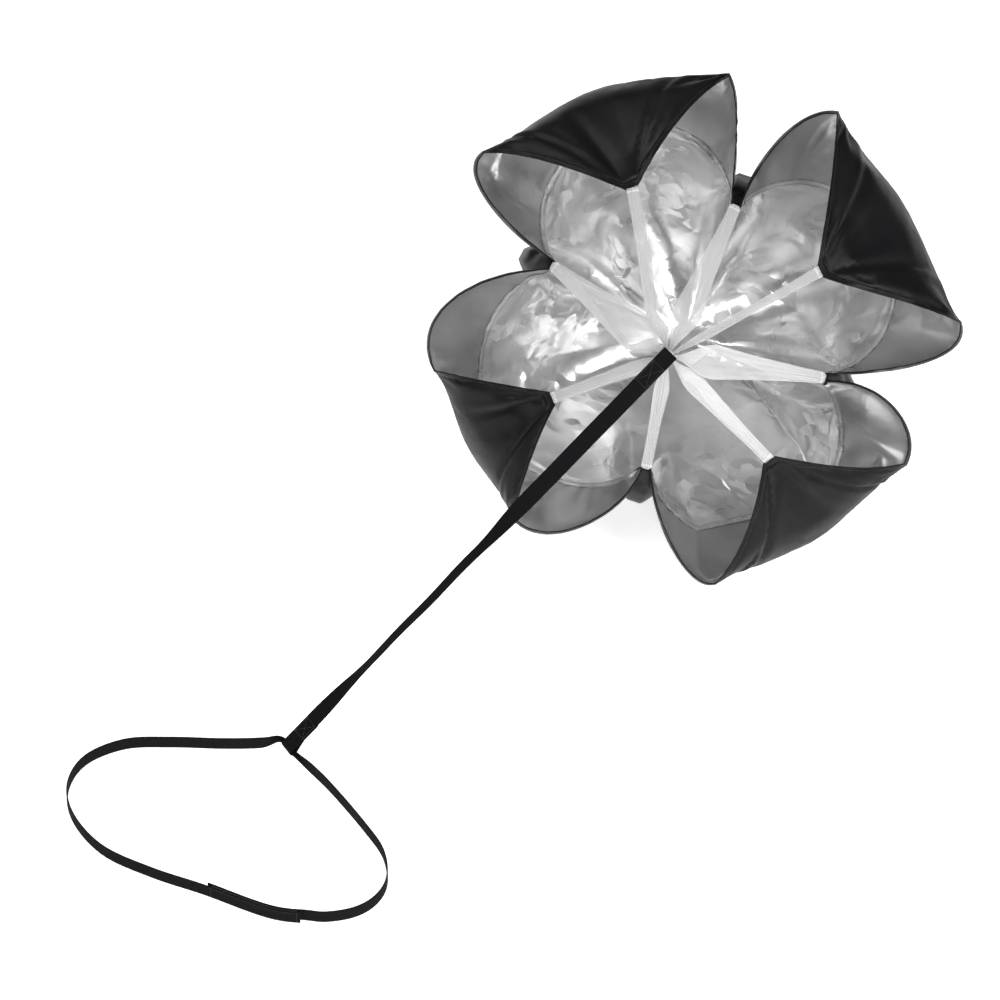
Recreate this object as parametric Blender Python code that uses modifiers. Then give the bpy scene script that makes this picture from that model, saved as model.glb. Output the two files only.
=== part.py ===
"""Speed parachute: a drawn-in square canopy on eight mesh strips, a tow strap and an adjustable waist belt.

The canopy is modelled about its own axis, which points out of its mouth, and lies on the ground with its mouth
tilted up. Units are metres. World +Z is up and the ground is z = 0.
"""
import math

import bmesh
import bpy
from mathutils import Matrix, Vector

# Driving sizes of the canopy
canopy_radius = 0.390        # axis to the outermost lobes of the rim
canopy_depth = 0.300         # girth back to the middle of the crown
attachment_distance = 0.100   # drawn-in points of the rim, ahead of the girth
lobe_distance = 0.040         # lobes of the rim, ahead of the girth
girth_distance = 0.025           # widest line of a flap, behind the canopy's centre
seam_distance = 0.135            # middle of a crown seam, behind the girth
corner_distance = 0.022          # corner of the crown panel, behind the rim
fabric_thickness = 0.0012
hem_width = 0.010
hem_thickness = 0.0018
seam_width = 0.009
seam_thickness = 0.0018
tip_width = 0.020            # straight end of a flap
cleft_width = 0.014          # room between two lobes at a corner of the crown
fold_depth = 0.005           # main folds that run from a flap's tip
fold_stations = 6            # stations of a side panel from one fold to the next
mouth_tilt = 40.0            # degrees that the canopy's axis leans forward from upright
canopy_offset = 0.020       # canopy centre behind the resting point

# Mesh strips and the gather in which they end
gather_distance = 0.340
gather_length = 0.024        # along the width of the tow strap
gather_diameter = 0.018
strip_width = 0.070
strip_thickness = 0.0010
strip_end_width = 0.0034     # where a strip is pleated into the gather
strip_start_width = 0.017
tab_length = 0.010
tab_thickness = 0.0028
tab_seat = 0.0005            # edge of a flap's hem to the tab sewn on its tip
strip_layer = 0.0035         # neighbouring strips pass each other this far to either side

# Tow strap and waist belt
webbing_width = 0.025
webbing_thickness = 0.0018
strap_slope = 35.4           # degrees below level at which the taut strap runs down to the belt
strap_bearing = -147.3       # degrees, from the gather to the belt, seen from above
strap_lap = 45.0             # degrees of the gather that the strap's end covers
strap_twist = 42.0           # degrees that the strap turns about its length, on its way down
eye_wrap = 195.0             # degrees of the belt's bundle that the strap's eye covers
end_patch_length = 0.046
eye_return_length = 0.055           # stitched return of the strap behind the belt
belt_bundle_diameter = 0.008          # diameter of the belt where it is drawn through the strap's eye
belt_neck_length = 0.040            # length over which the belt spreads from there to its full width
belt_loop_width = 0.469
belt_loop_length = 0.323
overlap_length = 0.150
tape_width = 0.022
tape_thickness = 0.0014
edge_chamfer = 0.0004

# Clearances
seat_gap = 0.0003
sewn_gap = 0.0009
eye_clearance = 0.0004
eye_side_gap = 0.0015        # between an edge of the strap's eye and the spreading belt
fold_gap = 0.0030            # between the belt's inner end and the fold of its tail

# Attachment points of the eight strips in the plane of the mouth, as shares of the canopy radius
attachment_shares = (
    (-0.227, 0.538),
    (0.169, 0.469),
    (0.492, 0.219),
    (0.508, -0.188),
    (0.296, -0.500),
    (-0.173, -0.531),
    (-0.531, -0.265),
    (-0.531, 0.242),
)
gather_shares = (-0.103, -0.115)
# Visible width of each strip at its widest, as a share of the flat strip
spread_shares = (0.55, 0.60, 0.20, 0.70, 0.45, 0.30, 0.35, 0.85)

# Rim of each side panel from one corner of the crown to the next, as shares of the canopy radius: two handles and the
# lobe, two handles to the flap's tip, two handles and the other lobe, two handles to the far corner.
rim_shares = {
    "top": (
        ((0.162, 0.635), (0.200, 0.865), (0.146, 0.969)),
        ((0.038, 0.923), (-0.115, 0.731)),
        ((-0.442, 0.608), (-0.654, 0.688)),
        ((-0.792, 0.677), (-0.885, 0.596), (-0.731, 0.404)),
    ),
    "left": (
        ((-0.846, 0.212), (-1.077, 0.058), (-0.981, -0.158)),
        ((-0.827, -0.192), (-0.654, -0.223)),
        ((-0.573, -0.385), (-0.638, -0.558)),
        ((-0.685, -0.715), (-0.558, -0.865), (-0.250, -0.712)),
    ),
    "bottom": (
        ((-0.135, -0.769), (0.000, -1.000), (0.096, -0.973)),
        ((0.185, -0.892), (0.250, -0.692)),
        ((0.481, -0.515), (0.654, -0.550)),
        ((0.819, -0.515), (0.885, -0.385), (0.731, -0.185)),
    ),
    "right": (
        ((0.769, -0.162), (1.069, -0.123), (1.031, 0.031)),
        ((0.865, 0.104), (0.685, 0.131)),
        ((0.515, 0.442), (0.554, 0.635)),
        ((0.562, 0.827), (0.404, 0.846), (0.250, 0.635)),
    ),
}
# Outline of each flap from lobe to lobe: two handles as shares of the canopy radius
flap_shares = {
    "top": ((-0.192, 1.058), (-0.577, 0.904)),
    "left": ((-0.942, -0.346), (-0.808, -0.577)),
    "bottom": ((0.385, -0.923), (0.662, -0.731)),
    "right": ((0.962, 0.346), (0.750, 0.673)),
}
# Corner, tip and next corner of each side panel, as places in the list of attachments
panel_corners = {"top": (1, 0, 7), "left": (7, 6, 5), "bottom": (5, 4, 3), "right": (3, 2, 1)}

# Line of the belt on the ground from the right of the strap's eye round to its left, as shares of its span and reach
belt_shares = (
    (0.119, -0.208),
    (0.242, -0.464),
    (0.302, -0.625),
    (0.308, -0.790),
    (0.250, -0.912),
    (0.142, -0.967),
    (-0.031, -0.958),
    (-0.258, -0.815),
    (-0.418, -0.720),
    (-0.572, -0.595),
    (-0.667, -0.417),
    (-0.692, -0.238),
    (-0.641, -0.077),
    (-0.519, 0.018),
    (-0.374, 0.030),
    (-0.214, 0.022),
    (-0.090, 0.026),
    (-0.040, 0.048),
)
seam_radius_share = 0.833    # axis to the middle of a crown seam, as a share of the canopy radius
rest_height_share = 0.641    # canopy centre above the ground, as a share of the canopy radius
girth_share = 0.985          # girth behind a lobe, as a share of the lobe's own distance from the axis
crease_share = 8.0           # extra room at the sharp crease by a cleft, as a share of the sewn gap
crown_start_share = 0.006    # edge of the crown along its curve, clear of the seam
corner_flare_share = 0.36    # spread of the crown behind a cleft, as a share of the canopy radius
corner_drop_share = 0.56     # and how far back it lies there, as a share of the canopy depth
crown_handle_share = 0.42    # first handle of the crown's curve, as a share of the canopy depth
crown_flat_share = 0.50      # flat middle of the crown, as a share of the seam radius
crown_row_share = 1.1        # closeness of the crown's rows towards its seam
flap_half_share = 0.46       # either half of a flap's outline, up to its straight tip
hem_limit_share = 0.28       # widest that a hem may be, as a share of the panel's section
seam_limit_share = 0.22
spread_peak_share = 0.72     # place along a strip where it is widest
spread_fall_share = 1.8      # quickness of its narrowing from there to the gather
strip_fold_share = 0.03      # depth of a strip's folds, of its width
# Place across a strip and height of each point of its folded section
strip_fold_shares = ((-1.0, 0.5), (-0.5, -1.0), (0.0, 0.5), (0.5, -1.0), (1.0, 0.5))
eye_return_shares = (0.45, 0.70, 1.00)
patch_start_share = 0.75     # end patch from the gather, as a share of the gather's diameter
twist_start_share = 0.35     # places along the strap where it starts to turn, and where it has turned back
twist_stop_share = 0.93
twist_length_share = 0.15
tail_hinge_share = 0.470     # place of the tail's fold along the belt, from the right of the eye
tape_start_share = 0.25      # hook and loop tape from the fold, as a share of the belt's neck
tape_stop_share = 0.125      # and from the tail's end

seam_radius = canopy_radius * seam_radius_share
canopy_height = canopy_radius * rest_height_share

lobe_steps = 6
flap_steps = 7
panel_steps = 4
crown_steps = 6
section_steps = 24
strip_steps = 12
lap_steps = 5
straight_steps = 24
eye_steps = 12
patch_steps = 3
knot_steps = 12
belt_steps = 84
tail_steps = 8
ground = 0.0


def vector(pair, depth=0.0):
    return Vector((pair[0], pair[1], depth))


def bezier(points, share):
    """Point of a cubic curve with two handles."""
    rest = 1.0 - share
    first, handle, other, last = points
    return first * rest**3 + handle * (3 * rest**2 * share) + other * (3 * rest * share**2) + last * share**3


def fabric(name, colour, roughness, metallic=0.0):
    """A plain Principled material."""
    material = bpy.data.materials.new(name)
    material.use_nodes = True
    shader = material.node_tree.nodes["Principled BSDF"]
    shader.inputs["Base Color"].default_value = (*colour, 1.0)
    shader.inputs["Roughness"].default_value = roughness
    shader.inputs["Metallic"].default_value = metallic
    material.diffuse_color = (*colour, 1.0)
    return material


def add_object(name, mesh, frame=None):
    """Put a mesh in the part's collection, under an empty where one is given."""
    part = bpy.data.objects.new(name, mesh)
    collection.objects.link(part)
    if frame:
        part.parent = frame
    return part


def pivot(name, place):
    """An empty on a joint's axis, for the pieces that turn about it."""
    empty = bpy.data.objects.new(name, None)
    collection.objects.link(empty)
    empty.location = place
    return empty


def turns_about(part, empty):
    """Give a piece built in world places the origin of its joint."""
    part.data.transform(Matrix.Translation(-empty.location))
    part.parent = empty


def cloth(name, rows, thickness, materials, frame=None, closed=False, pole=None):
    """A sheet through rows of points, thickened evenly to both sides of them."""
    mesh = bpy.data.meshes.new(name)
    build = bmesh.new()
    grid = [[build.verts.new(point) for point in row] for row in rows]
    around = len(rows[0])
    for row, other in zip(grid, grid[1:]):
        for index in range(around if closed else around - 1):
            following = (index + 1) % around
            build.faces.new((row[index], row[following], other[following], other[index]))
    if pole is not None:
        middle = build.verts.new(pole)
        for index in range(around):
            build.faces.new((grid[-1][index], grid[-1][(index + 1) % around], middle))
    build.to_mesh(mesh)
    build.free()
    mesh.shade_smooth()
    for material in materials:
        mesh.materials.append(material)
    part = add_object(name, mesh, frame)
    wall = part.modifiers.new("Thickness", "SOLIDIFY")
    wall.thickness = thickness
    wall.offset = 0.0
    wall.material_offset = len(materials) - 1
    return part


def loft(name, sections, material):
    """A solid through closed sections, capped at both ends."""
    mesh = bpy.data.meshes.new(name)
    build = bmesh.new()
    rings = [[build.verts.new(point) for point in section] for section in sections]
    around = len(sections[0])
    for ring, other in zip(rings, rings[1:]):
        for index in range(around):
            following = (index + 1) % around
            build.faces.new((ring[index], ring[following], other[following], other[index]))
    build.faces.new(rings[0][::-1])
    build.faces.new(rings[-1])
    bmesh.ops.recalc_face_normals(build, faces=build.faces)
    build.to_mesh(mesh)
    build.free()
    mesh.shade_smooth()
    mesh.set_sharp_from_angle(angle=math.radians(40))
    mesh.materials.append(material)
    return add_object(name, mesh)


# Collection, materials and the canopy's frame
for old in list(bpy.data.objects):
    bpy.data.objects.remove(old, do_unlink=True)
collection = bpy.data.collections.new("speed_parachute")
bpy.context.scene.collection.children.link(collection)

black_taffeta = fabric("black taffeta", (0.012, 0.012, 0.013), 0.45)
silver_coating = fabric("silver coated taffeta", (0.50, 0.50, 0.51), 0.28, 0.85)
hem_taffeta = fabric("hemmed taffeta", (0.30, 0.30, 0.31), 0.40, 0.50)
seam_taffeta = fabric("felled seam", (0.35, 0.35, 0.36), 0.38, 0.60)
white_mesh = fabric("white polyester mesh", (0.80, 0.80, 0.80), 0.60)
white_stitching = fabric("white stitched tape", (0.72, 0.72, 0.72), 0.65)
black_webbing = fabric("black nylon webbing", (0.010, 0.010, 0.011), 0.70)
hook_plastic = fabric("hook tape", (0.015, 0.015, 0.016), 0.55)
loop_pile = fabric("loop tape", (0.020, 0.020, 0.021), 0.90)

canopy_frame = bpy.data.objects.new("canopy_frame", None)
collection.objects.link(canopy_frame)
canopy_frame.rotation_euler = (math.radians(mouth_tilt), 0.0, 0.0)
canopy_frame.location = (0.0, canopy_offset, canopy_height)
to_world = Matrix.Translation(canopy_frame.location) @ canopy_frame.rotation_euler.to_matrix().to_4x4()
up_in_canopy = to_world.to_3x3().transposed() @ Vector((0.0, 0.0, 1.0))
canopy_axis = Vector((0.0, 0.0, 1.0))


def laid(point, thickness=fabric_thickness):
    """Flatten a point of the fabric where it would lie below the ground."""
    shortfall = ground + thickness / 2 - (to_world @ point).z
    return point + up_in_canopy * max(shortfall, 0.0)


# Canopy: the sections of the four side panels, from corner to corner
attachments = [vector(pair) * canopy_radius for pair in attachment_shares]


def across(place, width):
    """The two ends of an attachment, anticlockwise from its middle."""
    centre = attachments[place]
    sideways = canopy_axis.cross(centre).normalized() * (width / 2)
    return centre - sideways, centre + sideways


def rim_stretches(side):
    """The rim of a side panel in the plane of the mouth, as four curves and a straight tip."""
    start, tip, end = panel_corners[side]
    first = across(start, cleft_width)[1]
    last = across(end, cleft_width)[0]
    tip_start, tip_end = across(tip, tip_width)
    lobe, edge, other_edge, other_lobe = [
        [vector(pair) * canopy_radius for pair in stretch] for stretch in rim_shares[side]
    ]
    return (
        (first, lobe[0], lobe[1], lobe[2]),
        (lobe[2], edge[0], edge[1], tip_start),
        (tip_end, other_edge[0], other_edge[1], other_lobe[0]),
        (other_lobe[0], other_lobe[1], other_lobe[2], last),
    )


def angle_of(point):
    return math.atan2(point.y, point.x)


def turned(angle, start):
    """An angle counted anticlockwise from a start angle."""
    return (angle - start + math.pi) % math.tau - math.pi


def stations(side):
    """Rim, girth and seam points of a side panel, and how far each is from a corner."""
    first_lobe, first_edge, second_edge, second_lobe = rim_stretches(side)
    handles = [vector(pair) * canopy_radius for pair in flap_shares[side]]
    flap = (first_lobe[3], handles[0], handles[1], second_lobe[0])
    corner_start, corner_end = panel_corners[side][0], panel_corners[side][2]
    start_angle = angle_of(attachments[corner_start])
    whole_turn = turned(angle_of(attachments[corner_end]), start_angle) % math.tau
    found = []

    def turn_of(point):
        return turned(angle_of(point), start_angle) / whole_turn

    def add(rim, outline, lobe_share, turn):
        rim_point = rim + canopy_axis * (
            attachment_distance + (lobe_distance - attachment_distance) * math.sin(math.pi / 2 * lobe_share) ** 2
        )
        rise = 4 * turn * (1 - turn)
        girth_start = attachment_distance - corner_distance / 2
        girth = outline * girth_share + canopy_axis * (girth_start - (girth_start + girth_distance) * rise**0.5)
        angle = start_angle + whole_turn * turn
        corner_radius = attachments[corner_start].length * (1 - turn) + attachments[corner_end].length * turn
        radius = corner_radius + (seam_radius - corner_radius) * rise
        behind = attachment_distance - corner_distance
        seam = Vector((math.cos(angle) * radius, math.sin(angle) * radius, behind - (seam_distance + behind) * rise))
        sideways = Vector((-math.sin(angle), math.cos(angle), 0.0))
        seam += sideways * (cleft_width / 2 * (1 - rise) ** 2 * (1 if turn < 0.5 else -1))
        found.append((rim_point, girth, seam, rise))

    first_turn = turn_of(first_lobe[3])
    second_turn = turn_of(second_lobe[0])
    for step in range(lobe_steps + 1):
        share = step / lobe_steps
        point = bezier(first_lobe, share)
        add(point, point, share, first_turn * share)
    for step in range(1, flap_steps + 1):
        share = step / flap_steps
        outline = bezier(flap, share * flap_half_share)
        add(bezier(first_edge, share), outline, 1 - share, turn_of(outline))
    outline = bezier(flap, 0.5)
    add((first_edge[3] + second_edge[0]) / 2, outline, 0.0, turn_of(outline))
    for step in range(flap_steps):
        share = step / flap_steps
        outline = bezier(flap, 1 - flap_half_share * (1 - share))
        add(bezier(second_edge, share), outline, share, turn_of(outline))
    for step in range(lobe_steps + 1):
        share = step / lobe_steps
        point = bezier(second_lobe, share)
        add(point, point, 1 - share, 1 + (second_turn - 1) * (1 - share))
    return found


def section(rim, girth, seam):
    """Points across a side panel from the rim over the girth to the seam."""
    handle = (girth * 8 - rim - seam) / 6
    curve = (rim, handle, handle, seam)
    return [bezier(curve, step / section_steps) for step in range(section_steps + 1)]


def along(points, distance):
    """The point at a distance along a row of points."""
    for point, following in zip(points, points[1:]):
        length = (following - point).length
        if distance <= length:
            return point.lerp(following, distance / length)
        distance -= length
    return points[-1]


def length_of(points):
    return sum((b - a).length for a, b in zip(points, points[1:]))


def pleat(point, place, count, share):
    """Depth of the folds that spread from a flap's tip over its side panel."""
    nearness = 1 - abs(2 * place / count - 1)
    wave = math.cos(math.tau * (place - count / 2) / fold_stations)
    fall = math.sin(math.pi * share**0.5) * (1 - share)
    return point.normalized() * (fold_depth * wave * max(nearness * 2 - 1, 0.0) * fall)


canopy_stations = {side: stations(side) for side in rim_shares}

for side, found in canopy_stations.items():
    hem_rows, panel_rows, seam_rows = [], [], []
    count = len(found) - 1
    for place, (rim, girth, seam, rise) in enumerate(found):
        line = section(rim, girth, seam)
        total = length_of(line)
        hem = min(hem_width, total * hem_limit_share)
        felled = min(seam_width, total * seam_limit_share)
        crease_gap = sewn_gap * (1 + crease_share * (1 - rise) ** 2)
        panel_start = hem + sewn_gap
        panel_length = total - felled - sewn_gap - crease_gap - panel_start
        hem_rows.append([along(line, 0.0), along(line, hem)])
        felled_edges = (along(line, total - felled - crease_gap), along(line, total - crease_gap))
        seam_rows.append([laid(edge, seam_thickness) for edge in felled_edges])
        row = []
        for step in range(panel_steps + 1):
            share = step / panel_steps
            point = along(line, panel_start + panel_length * share)
            row.append(laid(point + pleat(point, place, count, share)))
        panel_rows.append(row)
    cloth(f"side_panel_{side}", panel_rows, fabric_thickness, (black_taffeta, silver_coating), canopy_frame)
    cloth(f"rim_hem_{side}", hem_rows, hem_thickness, (hem_taffeta,), canopy_frame)
    cloth(f"crown_seam_{side}", seam_rows, seam_thickness, (seam_taffeta,), canopy_frame)


def crown_line(seam, girth, rim, rise):
    """Curve from the crown's edge in to its middle: it carries on from the side panel, but flares at a corner."""
    outward = vector((seam.x, seam.y)).normalized()
    arrival = (seam - section(rim, girth, seam)[-2]).normalized()
    flare = outward * (canopy_radius * corner_flare_share) - canopy_axis * (canopy_depth * corner_drop_share)
    handle = seam + (arrival * (canopy_depth * crown_handle_share)).lerp(flare, (1 - rise) ** 2)
    inner = outward * (seam_radius * crown_flat_share) - canopy_axis * canopy_depth
    return seam, handle, inner, canopy_axis * -canopy_depth


crown_rows = [[] for _ in range(crown_steps)]
for side in ("top", "left", "bottom", "right"):
    for rim, girth, seam, rise in canopy_stations[side]:
        line = crown_line(seam, girth, rim, rise)
        for step, row in enumerate(crown_rows):
            share = (step / crown_steps) ** crown_row_share
            row.append(laid(bezier(line, crown_start_share + (1 - crown_start_share) * share)))
cloth(
    "crown_panel",
    [row[::-1] for row in crown_rows],
    fabric_thickness,
    (black_taffeta, silver_coating),
    canopy_frame,
    closed=True,
    pole=laid(canopy_axis * -canopy_depth),
)

# Mesh strips from the eight attachments to the gather
gather = vector(gather_shares) * canopy_radius + canopy_axis * gather_distance
strap_end_height = ground + webbing_width / 2
gather_world = to_world @ gather
strap_fall = gather_world.z - strap_end_height
strap_run = strap_fall / math.tan(math.radians(strap_slope))
bearing = math.radians(strap_bearing)
eye = gather_world + Vector((math.cos(bearing) * strap_run, math.sin(bearing) * strap_run, -strap_fall))
strap_way = (eye - gather_world).normalized()
mouth_way = to_world.to_3x3() @ canopy_axis
gather_width_way = mouth_way.cross(strap_way).normalized()
gather_front = strap_way.cross(gather_width_way).normalized()
if gather_front.dot(mouth_way) < 0:
    gather_front = -gather_front


def gather_radius(way):
    """Distance from the gather's middle to its surface along a world direction."""
    along_width = way.dot(gather_width_way) / (gather_length / 2)
    cross_width = math.sqrt(max(1 - way.dot(gather_width_way) ** 2, 0.0)) / (gather_diameter / 2)
    return 1 / math.hypot(along_width, cross_width)


def strip_points(place):
    """Two ends of a strip's middle line, its direction and its width direction, in the canopy's frame."""
    rim = attachments[place] + canopy_axis * attachment_distance
    way = (gather - rim).normalized()
    width_way = canopy_axis.cross(way).normalized()
    reach = gather_radius(to_world.to_3x3() @ -way)
    return rim, gather - way * (reach + seat_gap), way, width_way


def strip_spread(share):
    """How far a strip has spread from its tab towards the gather, from 0 to 1."""
    if share < spread_peak_share:
        return share / spread_peak_share
    fall = (share - spread_peak_share) / (1 - spread_peak_share)
    return max(math.cos(math.pi / 2 * fall), 0.0) ** spread_fall_share


def strip_row(centre, width, layer):
    """Points across a strip, bent round the line through the gather."""
    radial = vector((centre.x - gather.x, centre.y - gather.y))
    row = []
    for across_share, fold in strip_fold_shares:
        angle = angle_of(radial) + width / 2 * across_share / radial.length
        distance = radial.length + layer + width * strip_fold_share * fold
        row.append(Vector((gather.x + math.cos(angle) * distance, gather.y + math.sin(angle) * distance, centre.z)))
    return row


corner_places = {places[0] for places in panel_corners.values()}
for place in range(len(attachments)):
    rim, end, way, width_way = strip_points(place)
    outward = attachments[place].normalized()
    normal = width_way.cross(way).normalized()
    half = strip_start_width / 2
    if place in corner_places:
        back = rim - canopy_axis * (corner_distance - fabric_thickness / 2 - seat_gap)
        neck = cleft_width / 2 - hem_thickness - sewn_gap
        tab_line = [(back, neck), (rim, neck), (rim + way * tab_length, half)]
    else:
        tab_line = [(rim + way * tab_seat, half), (rim + way * tab_length, half)]
    sideways = canopy_axis.cross(outward).normalized()
    if sideways.dot(width_way) < 0:
        sideways = -sideways
    ways = [sideways] * (len(tab_line) - 1) + [width_way]
    tab_rows = [[point - turn * reach, point + turn * reach] for (point, reach), turn in zip(tab_line, ways)]
    cloth(f"strip_tab_{place + 1}", tab_rows, tab_thickness, (white_stitching,), canopy_frame)

    begin = tab_line[-1][0] + way * seat_gap
    widest = strip_width * spread_shares[place]
    layer = strip_layer * (1 if place in corner_places else -1)
    rows = []
    for step in range(strip_steps + 1):
        share = step / strip_steps
        spread = strip_spread(share)
        taper = 2 * half + (strip_end_width - 2 * half) * share
        width = taper + max(widest - taper, 0.0) * spread
        rows.append(strip_row(begin.lerp(end, share), width, layer * spread))
    cloth(f"mesh_strip_{place + 1}", rows, strip_thickness, (white_mesh,), canopy_frame)

mesh = bpy.data.meshes.new("mesh_gather")
build = bmesh.new()
bmesh.ops.create_uvsphere(build, u_segments=16, v_segments=10, radius=0.5)
shape = Matrix((gather_width_way, gather_front, strap_way)).transposed().to_4x4()
shape = shape @ Matrix.Diagonal((gather_length, gather_diameter, gather_diameter, 1.0))
bmesh.ops.transform(build, matrix=shape, verts=build.verts)
bmesh.ops.recalc_face_normals(build, faces=build.faces)
build.to_mesh(mesh)
build.free()
mesh.shade_smooth()
mesh.materials.append(white_stitching)
add_object("mesh_gather", mesh).location = gather_world

# Tow strap: laps over the gather, runs straight to the belt, goes round it and is stitched back on itself
eye_way = Vector((math.sin(bearing), -math.cos(bearing), 0.0)).normalized()
if eye_way.dot(gather_width_way) < 0:
    eye_way = -eye_way
eye_front = strap_way.cross(eye_way).normalized()
if eye_front.z < 0:
    eye_front = -eye_front
near_radius = gather_diameter / 2 + seat_gap + webbing_thickness / 2
far_radius = belt_bundle_diameter / 2 + eye_clearance + webbing_thickness / 2
strap_start = gather_world + gather_front * near_radius
strap_stop = eye + eye_front * far_radius


def eased(share):
    share = min(max(share, 0.0), 1.0)
    return share * share * (3 - 2 * share)


def strap_frame(distance):
    """Middle, width direction and front of the strap at a distance from the gather."""
    share = min(max(distance / (strap_stop - strap_start).length, 0.0), 1.0)
    twist = eased((share - twist_start_share) / twist_length_share)
    twist *= eased((twist_stop_share - share) / twist_length_share)
    width_way = gather_width_way.lerp(eye_way, share).normalized()
    width_way = Matrix.Rotation(math.radians(strap_twist) * twist, 3, strap_way) @ width_way
    front = strap_way.cross(width_way).normalized()
    if front.dot(mouth_way) < 0:
        front = -front
    return strap_start.lerp(strap_stop, share), width_way, front


def webbing_row(centre, width_way, width=webbing_width):
    return [centre - width_way * (width / 2), centre + width_way * (width / 2)]


strap_rows = []
for step in range(lap_steps):
    angle = math.radians(90 + strap_lap * (1 - step / lap_steps))
    around = strap_way * math.cos(angle) + gather_front * math.sin(angle)
    strap_rows.append(webbing_row(gather_world + around * near_radius, gather_width_way))
straight = (strap_stop - strap_start).length
for step in range(straight_steps + 1):
    centre, width_way, front = strap_frame(straight * step / straight_steps)
    strap_rows.append(webbing_row(centre, width_way))
for step in range(1, eye_steps + 1):
    angle = math.radians(90 - eye_wrap * step / eye_steps)
    around = strap_way * math.cos(angle) + eye_front * math.sin(angle)
    strap_rows.append(webbing_row(eye + around * far_radius, eye_way))
for back_share in eye_return_shares:
    centre, width_way, front = strap_frame(straight - eye_return_length * back_share)
    strap_rows.append(webbing_row(centre - front * (webbing_thickness + seat_gap), width_way))
tow_strap = cloth("tow_strap", strap_rows, webbing_thickness, (black_webbing,))

patch_rows = []
for step in range(patch_steps + 1):
    distance = gather_diameter * patch_start_share + end_patch_length * step / patch_steps
    centre, width_way, front = strap_frame(distance)
    patch_rows.append(webbing_row(centre - front * (webbing_thickness + seat_gap), width_way))
end_patch = cloth("strap_end_patch", patch_rows, webbing_thickness, (black_webbing,))
strap_pivot = pivot("strap_pivot", gather_world)
turns_about(tow_strap, strap_pivot)
turns_about(end_patch, strap_pivot)

# Waist belt: one strip from its inner end round to the fold of its tail
eye_half = webbing_width / 2 + eye_side_gap
away = eye_way if eye_way.y < 0 else -eye_way
belt_right = eye + away * eye_half
belt_left = eye - away * eye_half
knots = [belt_right]
knots += [eye + Vector((x * belt_loop_width, y * belt_loop_length, 0.0)) for x, y in belt_shares]
knots.append(belt_left)


def smooth_line(points, before, after, steps):
    """A smooth curve through points, leaving towards one neighbour and arriving from another."""
    whole = [before, *points, after]
    line = []
    for index in range(1, len(whole) - 2):
        a, b, c, d = whole[index - 1 : index + 3]
        for step in range(steps):
            share = step / steps
            line.append(
                (
                    b * 2
                    + (c - a) * share
                    + (a * 2 - b * 5 + c * 4 - d) * share**2
                    + (b * 3 - a - c * 3 + d) * share**3
                )
                / 2
            )
    line.append(points[-1])
    return line


belt_line = smooth_line(knots, eye, eye, knot_steps)
belt_length = length_of(belt_line)
fold_at = belt_length * tail_hinge_share
tail_end_at = fold_at - overlap_length
up = Vector((0.0, 0.0, 1.0))


def belt_frame(distance):
    """Point of the belt, its direction and the way into the loop."""
    step = belt_length / len(belt_line)
    point = along(belt_line, distance)
    direction = (along(belt_line, distance + step) - along(belt_line, max(distance - step, 0.0))).normalized()
    inward = direction.cross(up).normalized()
    return point, direction, inward


def stacked(layers):
    """Distance from the middle of the belt's outer layer in to the middle of a layer under it."""
    tapes = tape_thickness * (layers - 1)
    own = tape_thickness if layers < 3 else webbing_thickness
    return webbing_thickness / 2 + tapes + own / 2 + seat_gap * layers


def belt_section(point, inward, flatness):
    """Eight points round the belt: a round bundle at 0, flat webbing at 1."""
    found = []
    half_width = webbing_width / 2
    half_wall = webbing_thickness / 2
    flat = (
        (half_wall, half_width - edge_chamfer),
        (half_wall - edge_chamfer, half_width),
        (edge_chamfer - half_wall, half_width),
        (-half_wall, half_width - edge_chamfer),
        (-half_wall, edge_chamfer - half_width),
        (edge_chamfer - half_wall, -half_width),
        (half_wall - edge_chamfer, -half_width),
        (half_wall, edge_chamfer - half_width),
    )
    for index, (x, z) in enumerate(flat):
        angle = math.radians(22.5 + 45 * index)
        round_x = math.cos(angle) * belt_bundle_diameter / 2
        round_z = math.sin(angle) * belt_bundle_diameter / 2
        offset = round_x + (x - round_x) * flatness
        height = round_z + (z - round_z) * flatness
        found.append(point + inward * offset + up * height)
    return found


inner_end = fold_at - fold_gap
sections = []
for step in range(belt_steps + 1):
    share = step / belt_steps
    distance = inner_end * (1 - share)
    point, direction, inward = belt_frame(distance)
    tucked = eased((distance - tail_end_at + belt_neck_length) / belt_neck_length)
    flatness = eased(distance / belt_neck_length)
    sections.append(belt_section(point + inward * (stacked(3) * tucked), inward, flatness))
for step in range(belt_steps + 1):
    share = step / belt_steps
    distance = belt_length + (fold_at + seat_gap - belt_length) * share
    point, direction, inward = belt_frame(distance)
    flatness = eased((belt_length - distance) / belt_neck_length)
    sections.append(belt_section(point, inward, flatness))
waist_belt = loft("waist_belt", sections, black_webbing)


def belt_layer(start, stop, offset):
    """Rows of a layer of the overlap, at an offset into the loop."""
    rows = []
    for step in range(tail_steps + 1):
        point, direction, inward = belt_frame(start + (stop - start) * step / tail_steps)
        rows.append((point + inward * offset, up))
    return rows


tape_start = fold_at - belt_neck_length * tape_start_share
tape_stop = tail_end_at + belt_neck_length * tape_stop_share
tail_rows = [webbing_row(*row) for row in belt_layer(fold_at - seat_gap, tail_end_at, 0.0)]
hook_rows = [webbing_row(*row, tape_width) for row in belt_layer(tape_start, tape_stop, stacked(1))]
loop_rows = [webbing_row(*row, tape_width) for row in belt_layer(tape_start, tape_stop, stacked(2))]
belt_tail = cloth("belt_tail", tail_rows, webbing_thickness, (black_webbing,))
hook_tape = cloth("hook_tape", hook_rows, tape_thickness, (hook_plastic,))
loop_tape = cloth("loop_tape", loop_rows, tape_thickness, (loop_pile,))

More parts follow.
